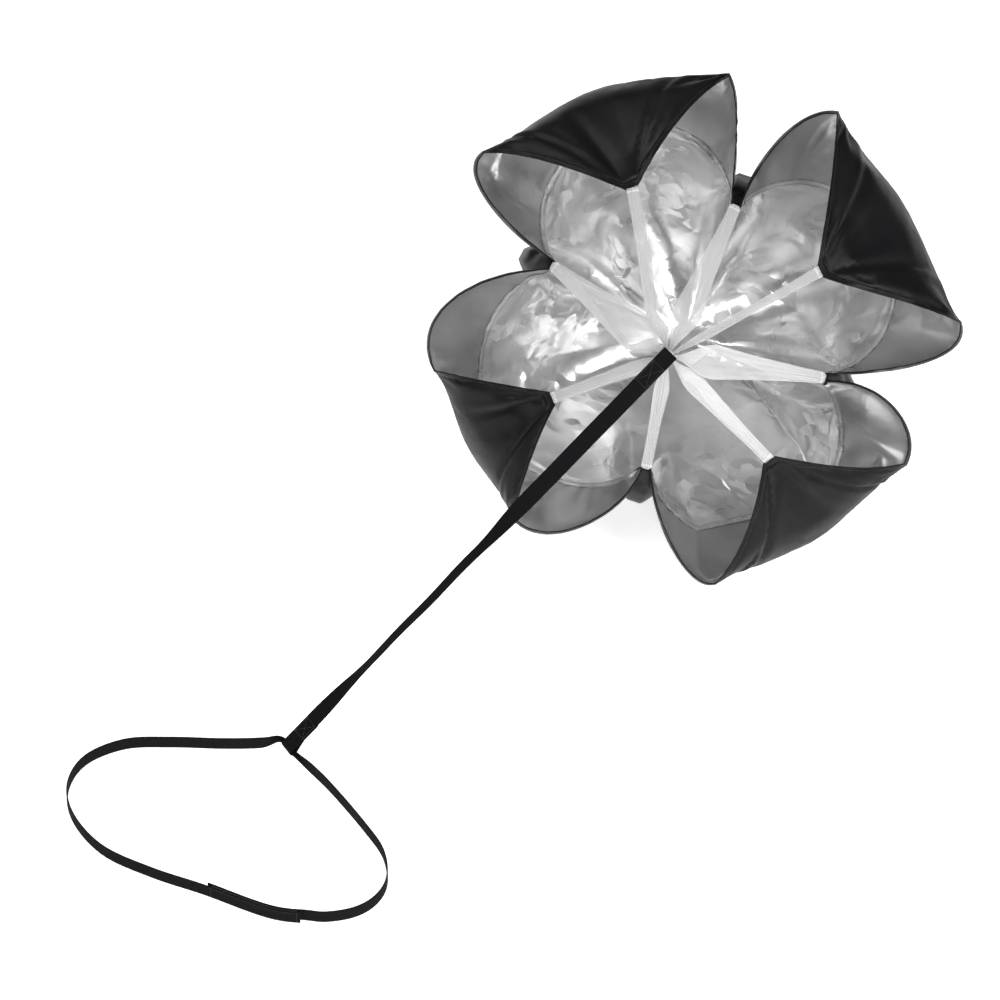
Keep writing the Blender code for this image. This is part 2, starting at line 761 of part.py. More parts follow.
fold_point, fold_way, fold_inward = belt_frame(fold_at)
tail_axis = fold_point - fold_inward * (webbing_thickness / 2)
belt_pivot = pivot("belt_pivot", eye)
turns_about(waist_belt, belt_pivot)
turns_about(loop_tape, belt_pivot)
tail_pivot = pivot("tail_pivot", tail_axis)
turns_about(belt_tail, tail_pivot)
turns_about(hook_tape, tail_pivot)

for label, value in (
    ("gather", gather_world),
    ("gather axis", gather_width_way),
    ("eye", eye),
    ("eye axis", eye_way),
    ("tail axis", tail_axis),
):
    print(label, [round(number, 5) for number in value])
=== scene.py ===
"""Speed parachute: dressed pieces, materials, floor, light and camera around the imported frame.

The canopy is shaped about its own axis, which points out of its mouth, and is then laid in the frame.
Units are metres.
"""
import math

import bmesh
import bpy
import numpy
from mathutils import Matrix, Vector, noise


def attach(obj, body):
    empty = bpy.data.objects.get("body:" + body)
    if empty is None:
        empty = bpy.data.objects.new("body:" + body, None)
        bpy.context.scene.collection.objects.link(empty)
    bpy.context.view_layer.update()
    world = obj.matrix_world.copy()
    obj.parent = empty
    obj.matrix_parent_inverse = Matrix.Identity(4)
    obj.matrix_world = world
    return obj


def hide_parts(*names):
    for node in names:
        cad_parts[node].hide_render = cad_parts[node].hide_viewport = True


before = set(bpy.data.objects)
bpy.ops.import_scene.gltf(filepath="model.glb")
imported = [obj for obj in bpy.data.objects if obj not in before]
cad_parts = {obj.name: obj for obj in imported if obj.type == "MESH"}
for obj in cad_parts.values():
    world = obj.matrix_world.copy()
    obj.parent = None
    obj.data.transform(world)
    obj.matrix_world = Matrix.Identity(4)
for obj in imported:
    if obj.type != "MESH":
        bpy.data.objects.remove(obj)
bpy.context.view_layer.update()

bl_info = {
    "name": "Speed parachute",
    "version": (1, 0, 0),
    "blender": (4, 5, 0),
    "location": "View3D > Sidebar > Parachute",
    "description": "Dresses the frame of a speed parachute in cloth, mesh and webbing",
    "category": "Object",
}

# Shape of the canopy, as in the frame
canopy_radius = 0.390
canopy_depth = 0.300
attachment_forward = 0.100
lobe_forward = 0.040
girth_back = 0.025
seam_radius = 0.325
seam_back = 0.135
corner_back = 0.022
tip_width = 0.020
cleft_width = 0.014
mouth_tilt = 40.0
canopy_height = 0.250
canopy_setback = 0.020

# Mesh strips and their gather
gather_forward = 0.340
gather_length = 0.024
gather_diameter = 0.018
strip_start_width = 0.017
strip_end_width = 0.0034
strip_layer = 0.0035
spread_peak_share = 0.72
spread_fall_share = 1.8
pleat_count = 16

# Tow strap: slope, bearing and laps in degrees, and where along its length it turns about itself
strap_slope = 35.4
strap_bearing = -147.3
strap_lap = 45.0
strap_twist = 42.0
twist_start_share = 0.35
twist_stop_share = 0.93
twist_length_share = 0.15
eye_wrap = 195.0
eye_return = 0.055
end_patch_length = 0.046
box_stitch_inset = 0.004

# Waist belt and its closure
belt_span = 0.469
belt_reach = 0.323
belt_neck = 0.040
belt_bundle = 0.008
overlap_length = 0.150
tape_width = 0.022

# Walls and gaps
cad_wall = 0.0018
tape_wall = 0.0014
hem_wall = 0.0017
seam_wall = 0.0018
seat_gap = 0.0003
eye_clearance = 0.0004
eye_side_gap = 0.0015
fold_gap = 0.0030

# Places on the rim and the belt, as shares of the canopy's radius or the belt's span and reach
attachment_shares = (
    (-0.227, 0.538),
    (0.169, 0.469),
    (0.492, 0.219),
    (0.508, -0.188),
    (0.296, -0.500),
    (-0.173, -0.531),
    (-0.531, -0.265),
    (-0.531, 0.242),
)
gather_shares = (-0.103, -0.115)
spread_shares = (0.55, 0.60, 0.20, 0.70, 0.45, 0.30, 0.35, 0.85)
rim_shares = {
    "top": (
        ((0.162, 0.635), (0.200, 0.865), (0.146, 0.969)),
        ((0.038, 0.923), (-0.115, 0.731)),
        ((-0.442, 0.608), (-0.654, 0.688)),
        ((-0.792, 0.677), (-0.885, 0.596), (-0.731, 0.404)),
    ),
    "left": (
        ((-0.846, 0.212), (-1.077, 0.058), (-0.981, -0.158)),
        ((-0.827, -0.192), (-0.654, -0.223)),
        ((-0.573, -0.385), (-0.638, -0.558)),
        ((-0.685, -0.715), (-0.558, -0.865), (-0.250, -0.712)),
    ),
    "bottom": (
        ((-0.135, -0.769), (0.000, -1.000), (0.096, -0.973)),
        ((0.185, -0.892), (0.250, -0.692)),
        ((0.481, -0.515), (0.654, -0.550)),
        ((0.819, -0.515), (0.885, -0.385), (0.731, -0.185)),
    ),
    "right": (
        ((0.769, -0.162), (1.069, -0.123), (1.031, 0.031)),
        ((0.865, 0.104), (0.685, 0.131)),
        ((0.515, 0.442), (0.554, 0.635)),
        ((0.562, 0.827), (0.404, 0.846), (0.250, 0.635)),
    ),
}
flap_shares = {
    "top": ((-0.192, 1.058), (-0.577, 0.904)),
    "left": ((-0.942, -0.346), (-0.808, -0.577)),
    "bottom": ((0.385, -0.923), (0.662, -0.731)),
    "right": ((0.962, 0.346), (0.750, 0.673)),
}
# Folds that spread from each flap's tip: how far each one leans, in stations, and its strength
tip_folds = {
    "top": ((12.0, 1.0), (62.0, 0.7), (-38.0, 0.5)),
    "left": ((-20.0, 0.7), (34.0, 0.6)),
    "bottom": ((-42.0, 0.6), (6.0, 0.8), (50.0, 0.5)),
    "right": ((-30.0, 0.6), (26.0, 0.7)),
}
fold_spread = 7.0
fold_start = 0.07
fold_stop = 0.55
fold_fading = 0.35
panel_corners = {"top": (1, 0, 7), "left": (7, 6, 5), "bottom": (5, 4, 3), "right": (3, 2, 1)}
belt_shares = (
    (0.119, -0.208),
    (0.242, -0.464),
    (0.302, -0.625),
    (0.308, -0.790),
    (0.250, -0.912),
    (0.142, -0.967),
    (-0.031, -0.958),
    (-0.258, -0.815),
    (-0.418, -0.720),
    (-0.572, -0.595),
    (-0.667, -0.417),
    (-0.692, -0.238),
    (-0.641, -0.077),
    (-0.519, 0.018),
    (-0.374, 0.030),
    (-0.214, 0.022),
    (-0.090, 0.026),
    (-0.040, 0.048),
)
girth_share = 0.985
corner_flare_share = 0.36
corner_drop_share = 0.56
crown_handle_share = 0.42
crown_flat_share = 0.50
crown_row_share = 1.1
flap_half_share = 0.46
tail_hinge_share = 0.470

# Fineness of the dressed cloth
lobe_steps = 22
flap_steps = 26
panel_rows = 34
crown_rows = 58
section_steps = 40
strip_steps = 80
strip_columns = 96
tab_columns = 24
lap_steps = 9
strap_steps = 180
eye_steps = 24
belt_steps = 260
inner_belt_steps = 240
layer_steps = 40

# Creases of the cloth: size, and weight against the largest
crease_sizes = ((0.062, 1.0), (0.030, 0.55), (0.015, 0.25))

# Depths of a strip's creases and pleats, and how far apart its folded layers lie
broad_crease = 0.0011
fine_crease = 0.0006
uneven_crease = 0.0008
pleat_depth = 0.0009
ply_gap = 0.0009
ply_turn = 0.0012

# Real sizes of what the materials show, in millimetres. Taffeta has about four threads to a millimetre and
# bonded thread a ply of 0.2 mm: both would be too fine to show, so they are drawn coarser.
wave_size = 83.33
weave_size = 1.111
patch_size = 142.9
bend_size = 55.56
fuzz_size = 0.7143
hole_pitch = 1.111
thread_ply = 0.3846
hook_grain = 0.6667

# Facets of crumpled coating: size in millimetres, share of the tilt, and turn; they are longer one way
facet_layers = ((33.33, 1.0, (0.5, 0.4, 0.9)), (17.24, 0.7, (1.1, -0.5, 0.3)))
facet_stretch = (0.45, 1.3, 1.3)

canopy_axis = Vector((0.0, 0.0, 1.0))
up = Vector((0.0, 0.0, 1.0))
to_world = Matrix.Translation((0.0, canopy_setback, canopy_height)) @ Matrix.Rotation(
    math.radians(mouth_tilt), 4, "X"
)
canopy_turn = to_world.to_3x3()


def colour_of(code):
    """Linear colour of a written sRGB colour such as #1b1b1c."""
    parts = [int(code[place : place + 2], 16) / 255 for place in (1, 3, 5)]
    return tuple(c / 12.92 if c <= 0.04045 else ((c + 0.055) / 1.055) ** 2.4 for c in parts)


# Settings


class CanopySettings(bpy.types.PropertyGroup):
    outside: bpy.props.FloatVectorProperty(
        name="Outside", description="Colour of the taffeta", subtype="COLOR", default=colour_of("#141416")
    )
    # The side panels' copy of the silver coating: its own grey, set darker than the crown's copy as painted
    # shade on walls that face away from the lamps.
    lining: bpy.props.FloatVectorProperty(
        name="Lining",
        description="Colour of the side panels' silver coating",
        subtype="COLOR",
        default=colour_of("#b2b2b2"),
    )
    # The crown's copy of the same coating, set lighter than the side panels' copy: a painted highlight where
    # the crown faces the lamps.
    crown_lining: bpy.props.FloatVectorProperty(
        name="Crown lining",
        description="Colour of the crown's silver coating",
        subtype="COLOR",
        default=colour_of("#dddddd"),
    )
    cloth_thickness: bpy.props.FloatProperty(
        name="Cloth thickness", description="Wall of the taffeta as shown", unit="LENGTH", default=0.0007
    )
    crumple: bpy.props.FloatProperty(
        name="Crumple", description="Depth of the creases in the cloth", unit="LENGTH", default=0.0016
    )
    tip_fold: bpy.props.FloatProperty(
        name="Tip folds", description="Depth of the folds at a flap's tip", unit="LENGTH", default=0.006
    )
    spare_cloth: bpy.props.FloatProperty(
        name="Spare cloth",
        description="Share by which the cloth is cut larger than its shape",
        subtype="FACTOR",
        default=0.014,
    )
    air_pressure: bpy.props.FloatProperty(
        name="Air", description="Pressure inside the canopy", default=10.0
    )
    air_reach: bpy.props.FloatProperty(
        name="Air reach",
        description="Farthest that the air may move the cloth",
        unit="LENGTH",
        default=0.010,
    )
    sim_mass: bpy.props.FloatProperty(
        name="Cloth weight", description="Weight of a point of the cloth", unit="MASS", default=0.0016
    )
    sim_bend: bpy.props.FloatProperty(
        name="Cloth stiffness", description="Stiffness of a fold", default=0.002
    )
    sim_frames: bpy.props.IntProperty(name="Frames", description="Steps of the air's filling", default=20)
    hem_width: bpy.props.FloatProperty(
        name="Hem width", description="Width of the rim's hem", unit="LENGTH", default=0.010
    )
    seam_width: bpy.props.FloatProperty(
        name="Seam width", description="Width of the felled seam", unit="LENGTH", default=0.009
    )


class StripSettings(bpy.types.PropertyGroup):
    mesh_colour: bpy.props.FloatVectorProperty(
        name="Mesh colour",
        description="Colour of the sheer strips",
        subtype="COLOR",
        default=colour_of("#f4f4f4"),
    )
    strip_width: bpy.props.FloatProperty(
        name="Strip width", description="Width of a flat strip", unit="LENGTH", default=0.070
    )


class WebbingSettings(bpy.types.PropertyGroup):
    webbing_colour: bpy.props.FloatVectorProperty(
        name="Webbing colour",
        description="Colour of strap and belt",
        subtype="COLOR",
        default=colour_of("#0f0f11"),
    )
    webbing_width: bpy.props.FloatProperty(
        name="Webbing width", description="Width of strap and belt", unit="LENGTH", default=0.025
    )
    webbing_wall: bpy.props.FloatProperty(
        name="Webbing thickness", description="Thickness of strap and belt", unit="LENGTH", default=0.0017
    )
    stitch_pitch: bpy.props.FloatProperty(
        name="Stitch pitch", description="From one stitch to the next", unit="LENGTH", default=0.0034
    )


# Materials


def add_node(tree, kind, inputs=None, **settings):
    """Add a node, set its properties and fill or link its inputs."""
    made = tree.nodes.new(kind)
    for name, value in settings.items():
        setattr(made, name, value)
    for name, value in (inputs or {}).items():
        socket = made.inputs[name]
        if isinstance(value, bpy.types.NodeSocket):
            tree.links.new(value, socket)
        else:
            socket.default_value = value
    return made


def new_material(name, colour, roughness, **sockets):
    """A Principled material with its plain values set on the shader's own sockets."""
    material = bpy.data.materials.new(name)
    material.use_nodes = True
    tree = material.node_tree
    shader = tree.nodes["Principled BSDF"]
    shader.inputs["Base Color"].default_value = (*colour, 1.0)
    shader.inputs["Roughness"].default_value = roughness
    for socket, value in sockets.items():
        shader.inputs[socket.replace("_", " ")].default_value = value
    material.diffuse_color = (*colour, 1.0)
    return material, tree, shader


def scale_of(millimetres):
    """The scale of a texture whose pattern has that size: how often it repeats in a metre, rounded."""
    return float(round(1000.0 / millimetres))


def taffeta(name, colour, roughness, facets, **sockets):
    """Coated polyester taffeta: flat facets where it is crumpled, soft waves, and a very fine weave."""
    material, tree, shader = new_material(name, colour, roughness, **sockets)
    place = add_node(tree, "ShaderNodeTexCoord").outputs["Object"]
    drift = add_node(
        tree,
        "ShaderNodeTexNoise",
        {"Vector": place, "Scale": scale_of(wave_size), "Detail": 2.0, "Distortion": 0.6},
    ).outputs["Fac"]
    fine = add_node(
        tree, "ShaderNodeTexNoise", {"Vector": place, "Scale": scale_of(weave_size), "Detail": 1.0}
    )
    soft = add_node(tree, "ShaderNodeBump", {"Height": drift, "Strength": 0.3, "Distance": 0.004})
    weave = add_node(
        tree,
        "ShaderNodeBump",
        {
            "Height": fine.outputs["Fac"],
            "Strength": 0.25,
            "Distance": 0.0002,
            "Normal": soft.outputs["Normal"],
        },
    )
    patches = add_node(
        tree, "ShaderNodeTexNoise", {"Vector": place, "Scale": scale_of(patch_size), "Detail": 1.0}
    )
    patchy = add_node(
        tree,
        "ShaderNodeMapRange",
        {
            "Value": patches.outputs["Fac"],
            "From Min": 0.47,
            "From Max": 0.58,
            "To Min": 0.10,
            "To Max": 1.0,
        },
    )
    bend = add_node(
        tree, "ShaderNodeTexNoise", {"Vector": place, "Scale": scale_of(bend_size), "Detail": 1.0}
    )
    bent = add_node(
        tree,
        "ShaderNodeVectorMath",
        {0: bend.outputs["Color"], 1: (0.05, 0.05, 0.05), 2: place},
        operation="MULTIPLY_ADD",
    )
    tilt = weave.outputs["Normal"]
    for size, share, turn in facet_layers:
        turned_place = add_node(
            tree,
            "ShaderNodeVectorRotate",
            {"Vector": bent.outputs["Vector"], "Rotation": turn},
            rotation_type="EULER_XYZ",
        )
        streaks = add_node(
            tree,
            "ShaderNodeVectorMath",
            {0: turned_place.outputs["Vector"], 1: facet_stretch},
            operation="MULTIPLY",
        )
        cells = add_node(
            tree, "ShaderNodeTexVoronoi", {"Vector": streaks.outputs["Vector"], "Scale": scale_of(size)}
        )
        way = add_node(
            tree,
            "ShaderNodeVectorMath",
            {0: cells.outputs["Color"], 1: (0.5, 0.5, 0.5)},
            operation="SUBTRACT",
        )
        amount = add_node(
            tree, "ShaderNodeMath", {0: patchy.outputs["Result"], 1: facets * share}, operation="MULTIPLY"
        )
        push = add_node(
            tree,
            "ShaderNodeVectorMath",
            {0: way.outputs["Vector"], "Scale": amount.outputs[0]},
            operation="SCALE",
        )
        tilt = add_node(
            tree, "ShaderNodeVectorMath", {0: tilt, 1: push.outputs["Vector"]}, operation="ADD"
        ).outputs["Vector"]
    whole = add_node(tree, "ShaderNodeVectorMath", {0: tilt}, operation="NORMALIZE")
    tree.links.new(whole.outputs["Vector"], shader.inputs["Normal"])
    shade = add_node(tree, "ShaderNodeValToRGB", {"Fac": drift})
    for element, position, tone in zip(shade.color_ramp.elements, (0.30, 0.70), (0.82, 1.12)):
        element.position = position
        element.color = (*(min(c * tone, 1.0) for c in colour), 1.0)
    tree.links.new(shade.outputs["Color"], shader.inputs["Base Color"])
    polish = add_node(
        tree,
        "ShaderNodeMapRange",
        {
            "Value": drift,
            "From Min": 0.3,
            "From Max": 0.7,
            "To Min": roughness * 0.8,
            "To Max": roughness * 1.25,
        },
    )
    tree.links.new(polish.outputs["Result"], shader.inputs["Roughness"])
    return material


def woven(name, colour, rib_pitch, roughness, **sockets):
    """A narrow weave: ribs across it and yarns along it, in real size on the piece's own map, with painted
    shade in the grooves and a painted highlight on the ribs' tops.
    """
    material, tree, shader = new_material(name, colour, roughness, **sockets)
    place = add_node(tree, "ShaderNodeUVMap", uv_map="cloth_map").outputs["UV"]
    parts = add_node(tree, "ShaderNodeSeparateXYZ", {"Vector": place})
    waves = []
    for socket, pitch in (("X", rib_pitch), ("Y", rib_pitch * 0.8)):
        turn = add_node(
            tree,
            "ShaderNodeMath",
            {0: parts.outputs[socket], 1: math.tau / pitch, 2: 0.0},
            operation="MULTIPLY_ADD",
        )
        sine = add_node(tree, "ShaderNodeMath", {0: turn.outputs[0]}, operation="SINE")
        lifted = add_node(
            tree, "ShaderNodeMath", {0: sine.outputs[0], 1: 0.5, 2: 0.5}, operation="MULTIPLY_ADD"
        )
        waves.append(lifted.outputs[0])
    height = add_node(tree, "ShaderNodeMath", {0: waves[0], 1: waves[1]}, operation="MULTIPLY")
    fuzz = add_node(
        tree, "ShaderNodeTexNoise", {"Vector": place, "Scale": scale_of(fuzz_size), "Detail": 2.0}
    )
    rough_height = add_node(
        tree,
        "ShaderNodeMath",
        {0: fuzz.outputs["Fac"], 1: 0.35, 2: height.outputs[0]},
        operation="MULTIPLY_ADD",
    ).outputs[0]
    bump = add_node(tree, "ShaderNodeBump", {"Height": rough_height, "Strength": 0.9, "Distance": 0.0004})
    tree.links.new(bump.outputs["Normal"], shader.inputs["Normal"])
    # Painted shade and highlight: the colour is darker down in the grooves between the ribs and lighter on
    # their tops, with random fuzz mixed in as uneven tone.
    painted_groove_shade = tuple(c * 0.55 for c in colour)
    light = tuple(min(c * 1.6 + 0.002, 1.0) for c in colour)
    shade = add_node(
        tree,
        "ShaderNodeMix",
        {"Factor": rough_height, "A": (*painted_groove_shade, 1.0), "B": (*light, 1.0)},
        data_type="RGBA",
    )
    tree.links.new(shade.outputs["Result"], shader.inputs["Base Color"])
    return material


def sheer_mesh(name, colour):
    """Knitted polyester net: round holes between soft yarns, at the net's real size on the strip's map."""
    material, tree, shader = new_material(name, colour, 0.55, Sheen_Weight=0.25, Sheen_Roughness=0.4)
    place = add_node(tree, "ShaderNodeUVMap", uv_map="cloth_map").outputs["UV"]
    holes = add_node(
        tree,
        "ShaderNodeTexVoronoi",
        {"Vector": place, "Scale": scale_of(hole_pitch), "Randomness": 0.25},
        voronoi_dimensions="2D",
    ).outputs["Distance"]
    cover = add_node(
        tree,
        "ShaderNodeMapRange",
        {"Value": holes, "From Min": 0.18, "From Max": 0.42, "To Min": 0.05, "To Max": 0.42},
    )
    tree.links.new(cover.outputs["Result"], shader.inputs["Alpha"])
    bump = add_node(tree, "ShaderNodeBump", {"Height": holes, "Strength": 0.6, "Distance": 0.0003})
    tree.links.new(bump.outputs["Normal"], shader.inputs["Normal"])
    return material


def grained(name, colour, roughness, grain, detail, strength, **sockets):
    """A plain finish with an even grain of that size in millimetres."""
    material, tree, shader = new_material(name, colour, roughness, **sockets)
    place = add_node(tree, "ShaderNodeTexCoord").outputs["Object"]
    rough = add_node(
        tree, "ShaderNodeTexNoise", {"Vector": place, "Scale": scale_of(grain), "Detail": detail}
    )
    bump = add_node(
        tree, "ShaderNodeBump", {"Height": rough.outputs["Fac"], "Strength": strength, "Distance": 0.0002}
    )
    tree.links.new(bump.outputs["Normal"], shader.inputs["Normal"])
    return material


finishes = {}


def finish_of(name):
    """The finish with that name, made once from the settings."""
    if name not in finishes:
        look = bpy.context.scene
        canopy, strips, webbing = look.chute_canopy, look.chute_strips, look.chute_webbing
        white = tuple(strips.mesh_colour)
        makers = {
            # Polyester taffeta with a black coating: nearly black, with a soft shine along its folds
            "outside": lambda: taffeta(
                "black taffeta", tuple(canopy.outside), 0.42, 0.06, Specular_IOR_Level=0.15
            ),
            # The same cloth, silver coated: a dull metallic grey, smooth where the side panels are taut, and
            # set darker than the crown's copy as painted shade
            "lining": lambda: taffeta(
                "silver coated lining", tuple(canopy.lining), 0.37, 0.10, Metallic=0.85
            ),
            # The silver coating where the crown is crumpled: it flashes like foil, facet by facet, and its
            # colour is set lighter than the side panels' copy as a painted highlight
            "crown lining with painted highlight": lambda: taffeta(
                "silver coated crown lining", tuple(canopy.crown_lining), 0.30, 0.30, Metallic=0.85
            ),
            # Knitted polyester net: white where its folds lie in layers, and sheer between them
            "mesh": lambda: sheer_mesh("sheer white mesh", white),
            # The same net pleated and sewn flat: close, dull and white, with its rows showing through painted
            # shade in the grooves between them
            "tape": lambda: woven("white stitched mesh", white, 0.0012, 0.8),
            # Woven nylon: black and dull, with ribs across it whose tops are painted a little lighter and
            # whose grooves are painted darker
            "webbing": lambda: woven(
                "black nylon webbing", tuple(webbing.webbing_colour), 0.0019, 0.9, Specular_IOR_Level=0.1
            ),
            # Bonded nylon thread: a faint shine on each stitch, and its twist as a fine grain
            "black thread": lambda: grained(
                "black bonded thread", colour_of("#232325"), 0.6, thread_ply, 1.0, 0.7, Sheen_Weight=0.2
            ),
            "white thread": lambda: grained(
                "white bonded thread", colour_of("#f0f0ee"), 0.6, thread_ply, 1.0, 0.7, Sheen_Weight=0.2
            ),
            # Moulded nylon hooks: black, smoother than the cloth, with small bright points
            "hooks": lambda: grained("moulded hook tape", colour_of("#141416"), 0.42, hook_grain, 2.0, 0.4),
            # Brushed nylon loops: black, deep and matt, a little lighter at a low angle, with painted shade
            # in the grooves of the weave
            "pile": lambda: woven(
                "brushed loop tape", colour_of("#18181a"), 0.0009, 0.95, Sheen_Weight=0.15
            ),
        }
        finishes[name] = makers[name]()
    return finishes[name]


# Meshes


def new_piece(name, mesh, *finish_names):
    """Put a mesh in the scene as a piece with its finishes."""
    piece = bpy.data.objects.new(name, mesh)
    bpy.context.scene.collection.objects.link(piece)
    for finish_name in finish_names:
        mesh.materials.append(finish_of(finish_name))
    return piece


def grid_mesh(name, rows, closed=False, pole=None, map_rows=None):
    """A sheet of quads through rows of points, with its own map in metres where one is given."""
    mesh = bpy.data.meshes.new(name)
    build = bmesh.new()
    grid = [[build.verts.new(point) for point in row] for row in rows]
    layer = build.loops.layers.uv.new("cloth_map")
    around = len(rows[0])
    for number, (row, other) in enumerate(zip(grid, grid[1:])):
        for index in range(around if closed else around - 1):
            following = (index + 1) % around
            face = build.faces.new((row[index], row[following], other[following], other[index]))
            if map_rows:
                corners = (
                    map_rows[number][index],
                    map_rows[number][index + 1],
                    map_rows[number + 1][index + 1],
                    map_rows[number + 1][index],
                )
                for loop, corner in zip(face.loops, corners):
                    loop[layer].uv = corner
    if pole is not None:
        middle = build.verts.new(pole)
        for index in range(around):
            build.faces.new((grid[-1][index], grid[-1][(index + 1) % around], middle))
    build.to_mesh(mesh)
    build.free()
    mesh.shade_smooth()
    return mesh


def stand_for(piece, body, node):
    """Let a piece ride on a body in the place of a node."""
    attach(piece, body)
    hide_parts(node)


def apply_modifiers(piece):
    """Make the modifiers' result the piece's own mesh."""
    graph = bpy.context.evaluated_depsgraph_get()
    mesh = bpy.data.meshes.new_from_object(piece.evaluated_get(graph))
    old = piece.data
    piece.modifiers.clear()
    piece.data = mesh
    mesh.name = piece.name
    bpy.data.meshes.remove(old)


def thicken(piece, thickness, offset=0.0, inner_finish=0):
    """Give a sheet its wall."""
    wall = piece.modifiers.new("Wall", "SOLIDIFY")
    wall.thickness = thickness
    wall.offset = offset
    wall.material_offset = inner_finish
    apply_modifiers(piece)


def flat_webbing(name, spine, width, wall, finish_name, gathers=None):
    """Webbing along a spine of (middle, width direction), with rounded edges and a map in metres."""
    mesh = bpy.data.meshes.new(name)
    build = bmesh.new()
    layer = build.loops.layers.uv.new("cloth_map")
    half, edge = width / 2, wall / 2
    outline = [(-half + edge + (width - wall) * step / 10, edge) for step in range(11)]
    outline += [(half - edge * 0.3, edge * 0.7), (half, 0.0), (half - edge * 0.3, -edge * 0.7)]
    outline += [(half - edge - (width - wall) * step / 10, -edge) for step in range(11)]
    outline += [(-half + edge * 0.3, -edge * 0.7), (-half, 0.0), (-half + edge * 0.3, edge * 0.7)]
    rings, lengths, travelled = [], [], 0.0
    for index, (middle, width_way) in enumerate(spine):
        before = spine[max(index - 1, 0)][0]
        after = spine[min(index + 1, len(spine) - 1)][0]
        way = (after - before).normalized()
        normal = way.cross(width_way).normalized()
        if index:
            travelled += (middle - spine[index - 1][0]).length
        lengths.append(travelled)
        gather = gathers[index] if gathers else 0.0
        ring = []
        for across, out in outline:
            share = across / half
            flat = width_way * across + normal * out
            if gather:
                swing = math.asin(math.sin(share * math.pi * 2.5)) / (math.pi / 2)
                bunched = width_way * (swing * belt_bundle * 0.36 + share * belt_bundle * 0.06)
                bunched += normal * (share * belt_bundle * 0.36 + out * 0.6)
                flat = flat.lerp(bunched, gather)
            ring.append(build.verts.new(middle + flat))
        rings.append(ring)
    count = len(outline)
    reach = [0.0]
    for (a, b), (c, d) in zip(outline, outline[1:] + outline[:1]):
        reach.append(reach[-1] + math.hypot(c - a, d - b))
    for index in range(len(rings) - 1):
        for side in range(count):
            following = (side + 1) % count
            ring, other = rings[index], rings[index + 1]
            face = build.faces.new((ring[side], ring[following], other[following], other[side]))
            corners = ((index, side), (index, side + 1), (index + 1, side + 1), (index + 1, side))
            for loop, (row, place) in zip(face.loops, corners):
                loop[layer].uv = (lengths[row], reach[place])
    build.faces.new(rings[0][::-1])
    build.faces.new(rings[-1])
    bmesh.ops.recalc_face_normals(build, faces=build.faces)
    build.to_mesh(mesh)
    build.free()
    mesh.shade_smooth()
    mesh.set_sharp_from_angle(angle=math.radians(50))
    return new_piece(name, mesh, finish_name)


# Geometry Nodes: stitches along lines, and hooks or loops over a tape


def new_tree(name, given, sizes, made):
    """A tree with its mesh, its sizes and its finish as named inputs, and the node that gives them."""
    tree = bpy.data.node_groups.new(name, "GeometryNodeTree")
    tree.interface.new_socket(name=given, in_out="INPUT", socket_type="NodeSocketGeometry")
    for size_name, default in sizes.items():
        socket = tree.interface.new_socket(name=size_name, in_out="INPUT", socket_type="NodeSocketFloat")
        socket.default_value = default
    tree.interface.new_socket(name="Finish", in_out="INPUT", socket_type="NodeSocketMaterial")
    tree.interface.new_socket(name=made, in_out="OUTPUT", socket_type="NodeSocketGeometry")
    return tree, add_node(tree, "NodeGroupInput")


def place_on_points(tree, points, instance, finish, made):
    """End a tree: an instance on every point, made real, with its finish."""
    placed = add_node(
        tree,
        "GeometryNodeInstanceOnPoints",
        {"Points": points.outputs["Points"], "Instance": instance, "Rotation": points.outputs["Rotation"]},
    )
    real = add_node(tree, "GeometryNodeRealizeInstances", {"Geometry": placed.outputs[0]})
    dressed = add_node(tree, "GeometryNodeSetMaterial", {"Geometry": real.outputs[0], "Material": finish})
    add_node(tree, "NodeGroupOutput", {made: dressed.outputs[0]})
    return tree


def stitch_tree():
    """Stitches at an even pitch along every line of a mesh of edges."""
    tree = bpy.data.node_groups.get("stitches")
    if tree:
        return tree
    sizes = {"Pitch": 0.0034, "Stitch length": 0.0026, "Thread": 0.0006}
    tree, given = new_tree("stitches", "Lines", sizes, "Stitches")
    curves = add_node(tree, "GeometryNodeMeshToCurve", {"Mesh": given.outputs["Lines"]})
    spaced = add_node(
        tree,
        "GeometryNodeResampleCurve",
        {"Curve": curves.outputs[0], "Length": given.outputs["Pitch"]},
        mode="LENGTH",
    )
    points = add_node(tree, "GeometryNodeCurveToPoints", {"Curve": spaced.outputs[0]}, mode="EVALUATED")
    ball = add_node(tree, "GeometryNodeMeshUVSphere", {"Segments": 6, "Rings": 5, "Radius": 0.5})
    size = add_node(
        tree,
        "ShaderNodeCombineXYZ",
        {"X": given.outputs["Thread"], "Y": given.outputs["Thread"], "Z": given.outputs["Stitch length"]},
    )
    shaped = add_node(
        tree, "GeometryNodeTransform", {"Geometry": ball.outputs["Mesh"], "Scale": size.outputs[0]}
    )
    smooth = add_node(tree, "GeometryNodeSetShadeSmooth", {"Geometry": shaped.outputs[0]})
    return place_on_points(tree, points, smooth.outputs[0], given.outputs["Finish"], "Stitches")


